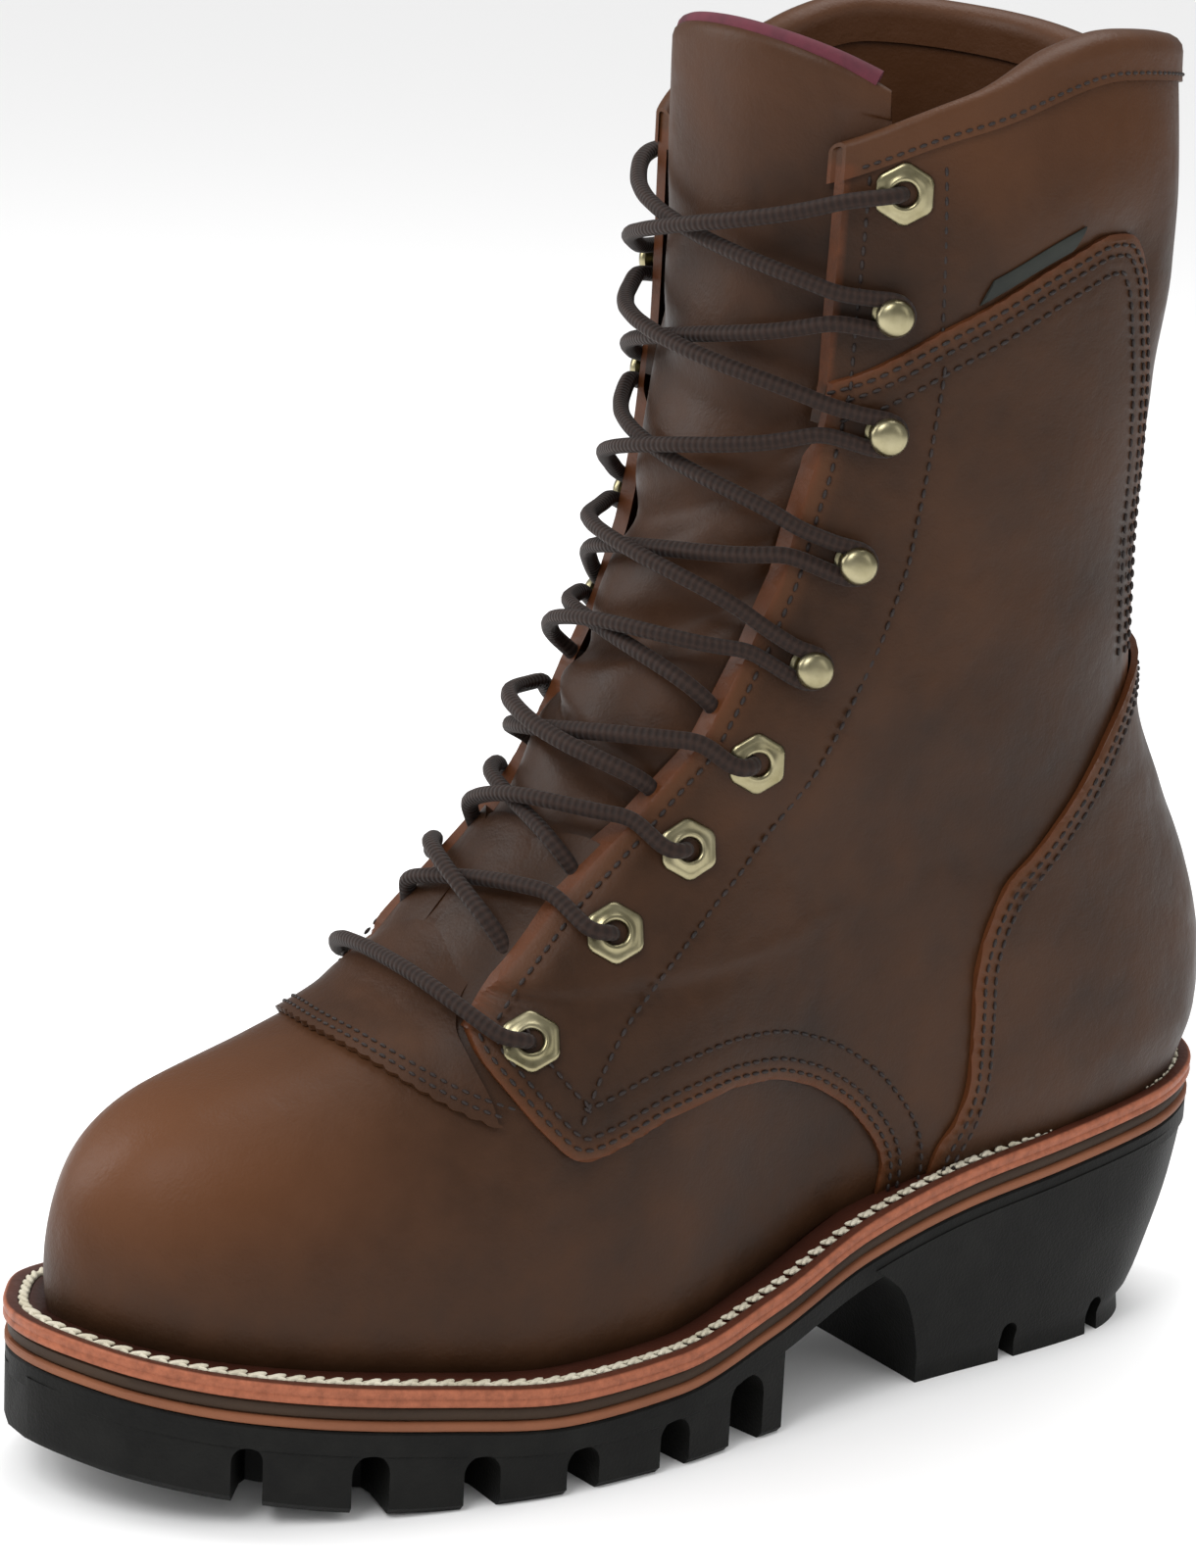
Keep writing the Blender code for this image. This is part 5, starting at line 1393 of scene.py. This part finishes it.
# %% Rubber sole with its lugs
BREAST, HEEL_RAKE, HEEL_TAPER = 0.100, 0.017, 0.0040
LUG_START, LUG_RISE, NOTCH_WIDTH, NOTCH_REACH = 0.146, 0.0140, 0.0085, 0.018
RUBBER_INSET, TREAD_INSET, TREAD_TURN, TREAD_CURVE = 0.0006, 0.0012, 0.74, 1.6
HEEL_NOTCH_HIGH = 0.0095
HEEL_BLOCK_ROWS = (        # share of its height, of the rake and taper, and of the breast's reach forwards
    (0.00, 1.00, 0.000), (0.09, 1.03, 0.000), (0.16, 0.86, 0.005),
    (0.40, 0.55, 0.030), (0.70, 0.25, 0.080), (1.00, 0.06, 0.180),
)
NOTCHES = (                # station, share of the notches' width, lean in degrees
    (0.500, 1.3, 8), (0.570, 1.0, 6), (0.650, 1.0, 2), (0.728, 1.0, -4), (0.808, 1.0, -14), (0.890, 0.8, -34),
)
HEEL_NOTCHES = ((0.130, 0.6), (0.225, 0.6))
over_rubber = WELT + MIDSOLE + SLIP_SOLE + 3 * GAP


def heel_rings():
    """Rings of the heel block from the floor up to the web."""
    quarter_turn = np.linspace(0, math.pi / 2, 40)
    made = []
    shares = np.concatenate([[0, 0.03, 0.06, 0.09, 0.12], np.linspace(0.16, 1, 12)])
    for share in shares:
        rake, reach = [float(smooth(table(HEEL_BLOCK_ROWS, index), share)) for index in (1, 2)]
        front, back_end = BREAST * (1 + reach), rake * HEEL_RAKE
        ahead = 1 - np.sin(quarter_turn)
        s = back_end + (front - back_end) * ahead
        narrow = 1 - rake * HEEL_TAPER * 2 / HEEL_WIDTH
        wide = [half_width(ahead * front / LENGTH, side + 0 * s) * narrow for side in (1, -1)]
        x, s = np.concatenate([wide[0], -wide[1][-2::-1]]), np.concatenate([s, s[-2::-1]])
        z = share * (welt_at(s) - over_rubber - WEB / 2)
        made.append(world(np.stack([x, s, z], -1)))
    return np.array(made)


def tread_rings():
    """Rings of the tread block, from its back end to the toe."""
    made = []
    for station in np.concatenate([np.linspace(LUG_START / LENGTH, 0.94, 40), np.linspace(0.945, 0.997, 14)]):
        s = station * LENGTH
        outer, inner = [side * (float(half_width(station, side)) - TREAD_INSET) for side in (1, -1)]
        past = max(station - TREAD_TURN, 0) / (1 - TREAD_TURN)
        high, low = float(welt_top(station)) - over_rubber - WEB / 2, LUG_RISE * past ** TREAD_CURVE
        round_off = min(0.0015, (outer - inner) / 4)
        made.append(world([
            (outer, s, high), (inner, s, high), (inner, s, low + round_off), (inner + round_off, s, low),
            (outer - round_off, s, low), (outer, s, low + round_off)]))
    return np.array(made)


def notch(middle, run, width, high):
    """Round-topped slot that runs in from the sole's edge."""
    across = np.array([-run[1], run[0]])
    profile = [(-1, 0)] + [(-math.cos(a), 1 + math.sin(a)) for a in np.linspace(0, math.pi, 12)] + [(1, 0)]
    made = []
    for reach, wide in ((-0.012, 1.12), (0, 1.0), (NOTCH_REACH * 0.8, 0.86), (NOTCH_REACH, 0.6)):
        made.append(world([(*(middle + run * reach + across * u * wide * width / 2),
                            -0.01 if v == 0 else high - width / 2 * (2 - v)) for u, v in profile]))
    return looped("notch", np.array(made))


web = [(0.006, 0), (RUBBER_INSET + 0.0004, 0), (RUBBER_INSET, 0.0005), (RUBBER_INSET, WEB - 0.0006),
       (RUBBER_INSET + 0.0006, WEB), (0.006, WEB)]
sole = sole_layer("rubber_sole", [(i, over_rubber + d) for i, d in web])
for rings in (heel_rings(), tread_rings()):
    cut(sole, looped("block", rings), "UNION")
for side in (1, -1):
    for station, share, lean in NOTCHES:
        angle = math.radians(lean)
        run = np.array([-side * math.cos(angle), math.sin(angle)])
        middle = np.array([side * float(half_width(station, side)), station * LENGTH])
        high = float(welt_top(station)) - over_rubber - WEB * 0.9
        cut(sole, notch(middle, run, NOTCH_WIDTH * share, high), "DIFFERENCE")
    for station, share in HEEL_NOTCHES:
        middle = np.array([side * HEEL_WIDTH / 2, station * LENGTH])
        cut(sole, notch(middle, np.array([-side, 0.0]), NOTCH_WIDTH * share, HEEL_NOTCH_HIGH), "DIFFERENCE")
dressed(soft(sole, 32), rubber, "black_rubber", "outsole")

# %% [markdown]
# ## Eyelets and hooks
# Five pairs of hexagon eyelets and four pairs of hooks. Each sits flat on the leather: rays cast on the panels
# round its place give the plane that it rests on. One model of each kind is turned from a profile, and a tree
# of Geometry Nodes sets a copy on every place.

# %% Places of the fittings
EYELET_ACROSS, EYELET_BORE, EYELET_BARREL, FLANGE = 0.0125, 0.0052, 0.0070, 0.0010
HOOK_BASE, HOOK_HEAD, HOOK_REACH = 0.0092, 0.0084, 0.0075
depsgraph = bpy.context.evaluated_depsgraph_get()
trees = [BVHTree.FromObject(item, depsgraph) for item in (quarters[1], quarters[-1], collar)]


def rest_frame(row, side):
    """Place and axes (across, along, out) of a fitting that rests on the upper's face."""
    s, z = eye_place(row)
    spot = world(side_point(s, z, side, QUARTER)[0])
    out = world(side_point(s, z, side, QUARTER + 0.01)[0]) - spot
    radius = HOOK_BASE / 2 if row in HOOK_ROWS else EYELET_ACROSS / 2
    for _ in range(3):
        out = out / np.linalg.norm(out)
        along = np.array([0, 0, 1]) - out * out[2]
        along /= np.linalg.norm(along)
        across = np.cross(along, out)
        rim = [spot + radius * (math.cos(a) * across + math.sin(a) * along)
               for a in np.linspace(0, 2 * math.pi, 13)[:12]]
        hits = []
        for point in rim:
            found = [tree.ray_cast(Vector(point + out * 0.012), Vector(-out)) for tree in trees]
            hits.append(np.array(min((hit for hit in found if hit[0]), key=lambda hit: hit[3])[0]))
        hits = np.array(hits)
        level = (hits - hits.mean(axis=0)) @ out
        flat = np.stack([(hits - spot) @ across, (hits - spot) @ along], -1)
        tilt = np.linalg.lstsq(flat, level, rcond=None)[0]
        base, out = out, out - tilt[0] * across - tilt[1] * along
    return spot + base * ((hits - spot) @ base).max(), across, along, base


frames = {(row, side): rest_frame(row, side) for row in range(len(EYE_ROWS)) for side in (1, -1)}
print(len(frames), "fittings placed")


# %% Models of an eyelet and a hook
def turned_rings(profile, sides, hexagon=()):
    """Rings round Z from (radius, height) rows; rows listed as hexagon are six-sided, with eased corners."""
    turn = 2 * math.pi * np.arange(sides) / sides
    six = 1 / np.cos((turn + math.pi / 6) % (math.pi / 3) - math.pi / 6)
    six = np.minimum(six, 1.10)
    rings = []
    for index, (radius, high) in enumerate(profile):
        wide = radius * (six if index in hexagon else 1)
        rings.append(np.column_stack([wide * np.cos(turn), wide * np.sin(turn), high + 0 * turn]))
    return np.array(rings)


half, bore = EYELET_ACROSS / 2, EYELET_BORE / 2
profile = [(bore, -QUARTER - LEATHER), (bore, 0.0009), (bore + 0.0002, 0.0013), (bore + 0.0007, 0.0016),
           (bore + 0.0012, 0.0015), (bore + 0.0015, 0.0012), (half - 0.0014, 0.0011), (half - 0.0007, 0.0010),
           (half - 0.0002, 0.0007), (half, 0.0003), (half, 0.0001), (EYELET_BARREL / 2, 0.0001),
           (EYELET_BARREL / 2, -QUARTER - LEATHER)]
eyelet_model = looped("eyelet_model", turned_rings(profile, 48, hexagon=(6, 7, 8, 9, 10)), wraps=True)
head, base, neck = HOOK_HEAD / 2, HOOK_BASE / 2, HOOK_HEAD * 0.22
profile = [(base - 0.0004, 0.0001), (base, 0.0004), (base, 0.0008), (base - 0.0004, 0.0011),
           (base - 0.0012, 0.0012), (base - 0.0016, 0.0010), (neck + 0.0004, 0.0011), (neck, 0.0016),
           (neck, HOOK_REACH - 0.0034), (neck + 0.0006, HOOK_REACH - 0.0030),
           (head - 0.0005, HOOK_REACH - 0.0029), (head, HOOK_REACH - 0.0025), (head, HOOK_REACH - 0.0020),
           (head * 0.93, HOOK_REACH - 0.0012), (head * 0.78, HOOK_REACH - 0.0005),
           (head * 0.5, HOOK_REACH - 0.0001), (head * 0.2, HOOK_REACH)]
hook_model = looped("hook_model", turned_rings(profile, 40))
print("models:", len(eyelet_model.data.polygons), "and", len(hook_model.data.polygons), "faces")

# %% Tree that sets the fittings
setting, enters, leaves = group_tree("set_fittings", "GeometryNodeTree", ("Geometry",), (
    ("Geometry", "NodeSocketGeometry"), ("Part", "NodeSocketObject"), ("Material", "NodeSocketMaterial")))
side_way = add(setting, "GeometryNodeInputNamedAttribute", {"Name": "across"}, data_type="FLOAT_VECTOR")
part = add(setting, "GeometryNodeObjectInfo", {"Object": enters.outputs["Part"]})
end_tree(setting, enters, leaves, Points=enters.outputs["Geometry"], Instance=part.outputs["Geometry"],
         Rotation=facing(setting, "out", side_way.outputs[0]))


def set_fittings(name, places, model, nodes):
    """Copies of a model on a list of frames, as one piece."""
    mesh = bpy.data.meshes.new(name)
    mesh.from_pydata([tuple(frame[0]) for frame in places], [], [])
    set_vectors(mesh, "across", [frame[1] for frame in places])
    set_vectors(mesh, "out", [frame[3] for frame in places])
    item = grown(new_object(name, mesh), setting, Part=model, Material=brass)
    return dressed(soft(item, 50), None, "antique_brass", *nodes)


for kind, model in (("eyelet", eyelet_model), ("hook", hook_model)):
    chosen = [key for key in frames if (key[0] in HOOK_ROWS) == (kind == "hook")]
    nodes = [f"{kind}_{'outer' if side > 0 else 'inner'}_{row + 1}" for row, side in chosen]
    set_fittings(kind + "s", [frames[key] for key in chosen], model, nodes)
    bpy.data.objects.remove(model)

# %% [markdown]
# ## Lace
# One plaited lace runs through everything. It starts as a bar over the lowest eyelets, dives through them,
# comes out from under the eyestay and crosses to the next row, over and under its other half in turn. It is
# wrapped round the neck of each hook and ends behind the top eyelets. Its path is pushed clear of the tongue.

# %% Path of the lace
LACE = 0.0040
LAP = 0.0039               # radius of the lace's turn round a hook
ROWS = len(EYE_ROWS)
EYELET_PATH = (            # across, along and out of the lace's points at an eyelet
    (0.0058, -0.0006, 0.0037), (0.0022, -0.0002, 0.0034), (0.0003, 0.0, 0.0008), (0.0003, 0.0, -0.0045),
)


def frame_point(row, side, across, along, out):
    """Place on the last from a fitting's own axes; across is towards the throat."""
    spot, x_way, y_way, z_way = frames[(row, side)]
    point = last_place(spot + y_way * along + z_way * out)
    toward = last_place(spot + x_way * 0.01) - last_place(spot)
    toward *= 1 if toward[1] > 0 else -1
    return point + toward / 0.01 * across


def edge_point(row, side, inward, ahead, out):
    """Point by the throat's edge beside a row: a distance past the edge, up along it and out."""
    point, run = along_throat(EYE_ROWS[row][0])
    spot = point + inward * np.array([run[1], -run[0]]) + ahead * run
    return side_point(spot[0], spot[1], side, out)[0]


def over_tongue(a, b, high, count=9):
    """Points between two places, kept just over the tongue, and higher by an amount in the middle."""
    share = np.linspace(0, 1, count + 2)[1:-1]
    hump = np.sin(math.pi * share) ** 2
    return list(onto(a + (b - a) * share[:, None], 0.0036 + high * hump))


def half_lace(side):
    """Points (x, s, z) of one half of the lace from the lowest eyelet on a side up to the top."""
    points = []
    for row in range(ROWS):
        if row in HOOK_ROWS:
            for turn in np.radians(np.linspace(-62, -298, 9)):
                out = 0.0031 + 0.0003 * math.sin(turn)
                points.append(frame_point(row, side, LAP * math.cos(turn), LAP * math.sin(turn), out))
        else:
            points += [frame_point(row, side, *spot) for spot in EYELET_PATH]
            if row == ROWS - 1:
                points.append(frame_point(row, side, 0.0030, -0.0030, -0.0062))
                break
            points.append(frame_point(row, side, 0.0040, 0.0020, -0.0070))
            points.append(edge_point(row, side, -0.0020, 0.0110 if row == 0 else 0.0045, -0.0040))
        start = edge_point(row, side, 0.0008, 0.0150 if row == 0 else 0.0060, -0.0006)
        if row in HOOK_ROWS:
            start = edge_point(row, side, -0.0010, 0.0040, QUARTER + LACE / 2)
        end = edge_point(row + 1, -side, -0.0005, -0.0020, QUARTER + LACE / 2 + 0.0002)
        over = 0.0038 if (row + (side > 0)) % 2 else -0.0004
        points.append(start)
        points += over_tongue(start, end, over)
        points.append(end)
        side = -side
    return points


high = QUARTER + LACE / 2 + 0.0006
ends = [frame_point(0, side, 0.0068, 0.0, 0.0036) for side in (1, -1)]
bar = list(onto(ends[0] + (ends[1] - ends[0]) * np.linspace(0.06, 0.94, 9)[:, None], high + 0.0006))
knots = np.array(half_lace(1)[::-1] + bar + half_lace(-1))
path = world(knots)
lace_path = rounded(evenly(path, 0.0012), 9)
lace = tube("lace", lace_path, LACE / 2, 14, 0.88)
crossings = [f"lace_cross_{n}" for n in range(1, ROWS)]
dressed(soft(lace, 80), cord, "lace_cord", "lace_bar", *crossings)
print("lace", round(float(travelled(lace_path)[-1]), 3), "m in the boot")

# %% [markdown]
# ## Stitching
# Rows of dark waxed thread follow the same lines as the grooves. The welt carries its own thick lock stitch in
# undyed thread, where two twisted strands lie in the groove.

# %% Rows on the upper
rows = []
for side in (1, -1):
    above = [line[line[:, 1] > 0.172] for line in seam_rows]
    for line in (*vamp_rows, throat_row[6:], *above, rear_stitch[rear_stitch[:, 1] < 0.2435]):
        rows.append(side_path(line, side, QUARTER + THREAD_LIFT))
    for line in counter_rows:
        rows.append(side_path(line, side, QUARTER + COUNTER + THREAD_LIFT))
stitch_rows("upper_stitches", rows, dark_thread, "brown_leather")
rows = []
rear_high = rear_stitch[(rear_stitch[:, 1] > 0.2445) & (rear_stitch[:, 1] < 0.2865)]
for side in (1, -1):
    for line in (inset(eyestay_high, 0.0040), rear_high):
        rows.append(side_path(line[line[:, 1] > seam_start[1] + 0.001], side, 0.00015))
stitch_rows("collar_stitches", rows, dark_thread, "brown_leather")

# %% Rows on the strip and the throat piece
columns = np.radians(np.linspace(38, 322, 240))
level = np.array([RISE - STRIP_OUT + 0.0016])
face = level_rows(level, columns[None, :])[0]
face = face[face[:, 1] < throat_line[-1, 0] - 0.003]
rows = [on_last(face, collar_out(face) + STRIP + THREAD_LIFT)]
for back_by in (0.0024, 0.0052):
    share = np.linspace(-0.97, 0.97, 120)
    turn = np.radians(share * 54.5)
    up = 0.14 + 0.70 * share ** 2 + back_by / 0.024
    face = fan(up, turn, 0 * up)
    rows.append(on_last(face, THROAT_PIECE_LIFT + THROAT_PIECE + THREAD_LIFT + 0 * up))
rows += stay_rows
stitch_rows("fine_stitches", rows, dark_thread, "brown_leather", pitch=0.0026, length=0.0018, width=0.0008)

# %% Lock stitch of the welt
edge = outline(STITCH_INSET)
edge = np.roll(edge, -SOLE_SIDES // 2, axis=0)
spots = np.column_stack([edge, welt_at(edge[:, 1])])
path = world(np.concatenate([spots, spots[:1]]))
for name, turn, lift in (("welt_stitch_a", 0.42, 0.0001), ("welt_stitch_b", -0.42, -0.0002)):
    strand = (path + (0, 0, lift), np.tile((0.0, 0.0, 1.0), (len(path), 1)))
    stitch_rows(name, [strand], welt_thread, "welt_leather",
                pitch=0.0042, length=0.0050, width=0.0015, turn=turn)

# %% Side tag
line = inset(collar_seam, -0.0045)
line = line[(line[:, 0] < 0.1115) & (line[:, 0] > 0.0885)]
grid = np.array([side_point(line[:, 0] - high * 0.4, line[:, 1] + high, 1, 0.0)
                 for high in np.linspace(-0.0045, 0.0012, 9)])
out = collar_out(grid) + 0.0009 - 0.0004 * np.linspace(-1, 1, 9)[:, None] ** 4
tag = closed_panel("side_tag", grid, out, collar_out(grid) + 0.0001)
dressed(soft(tag), tag_finish, "lace_cord")
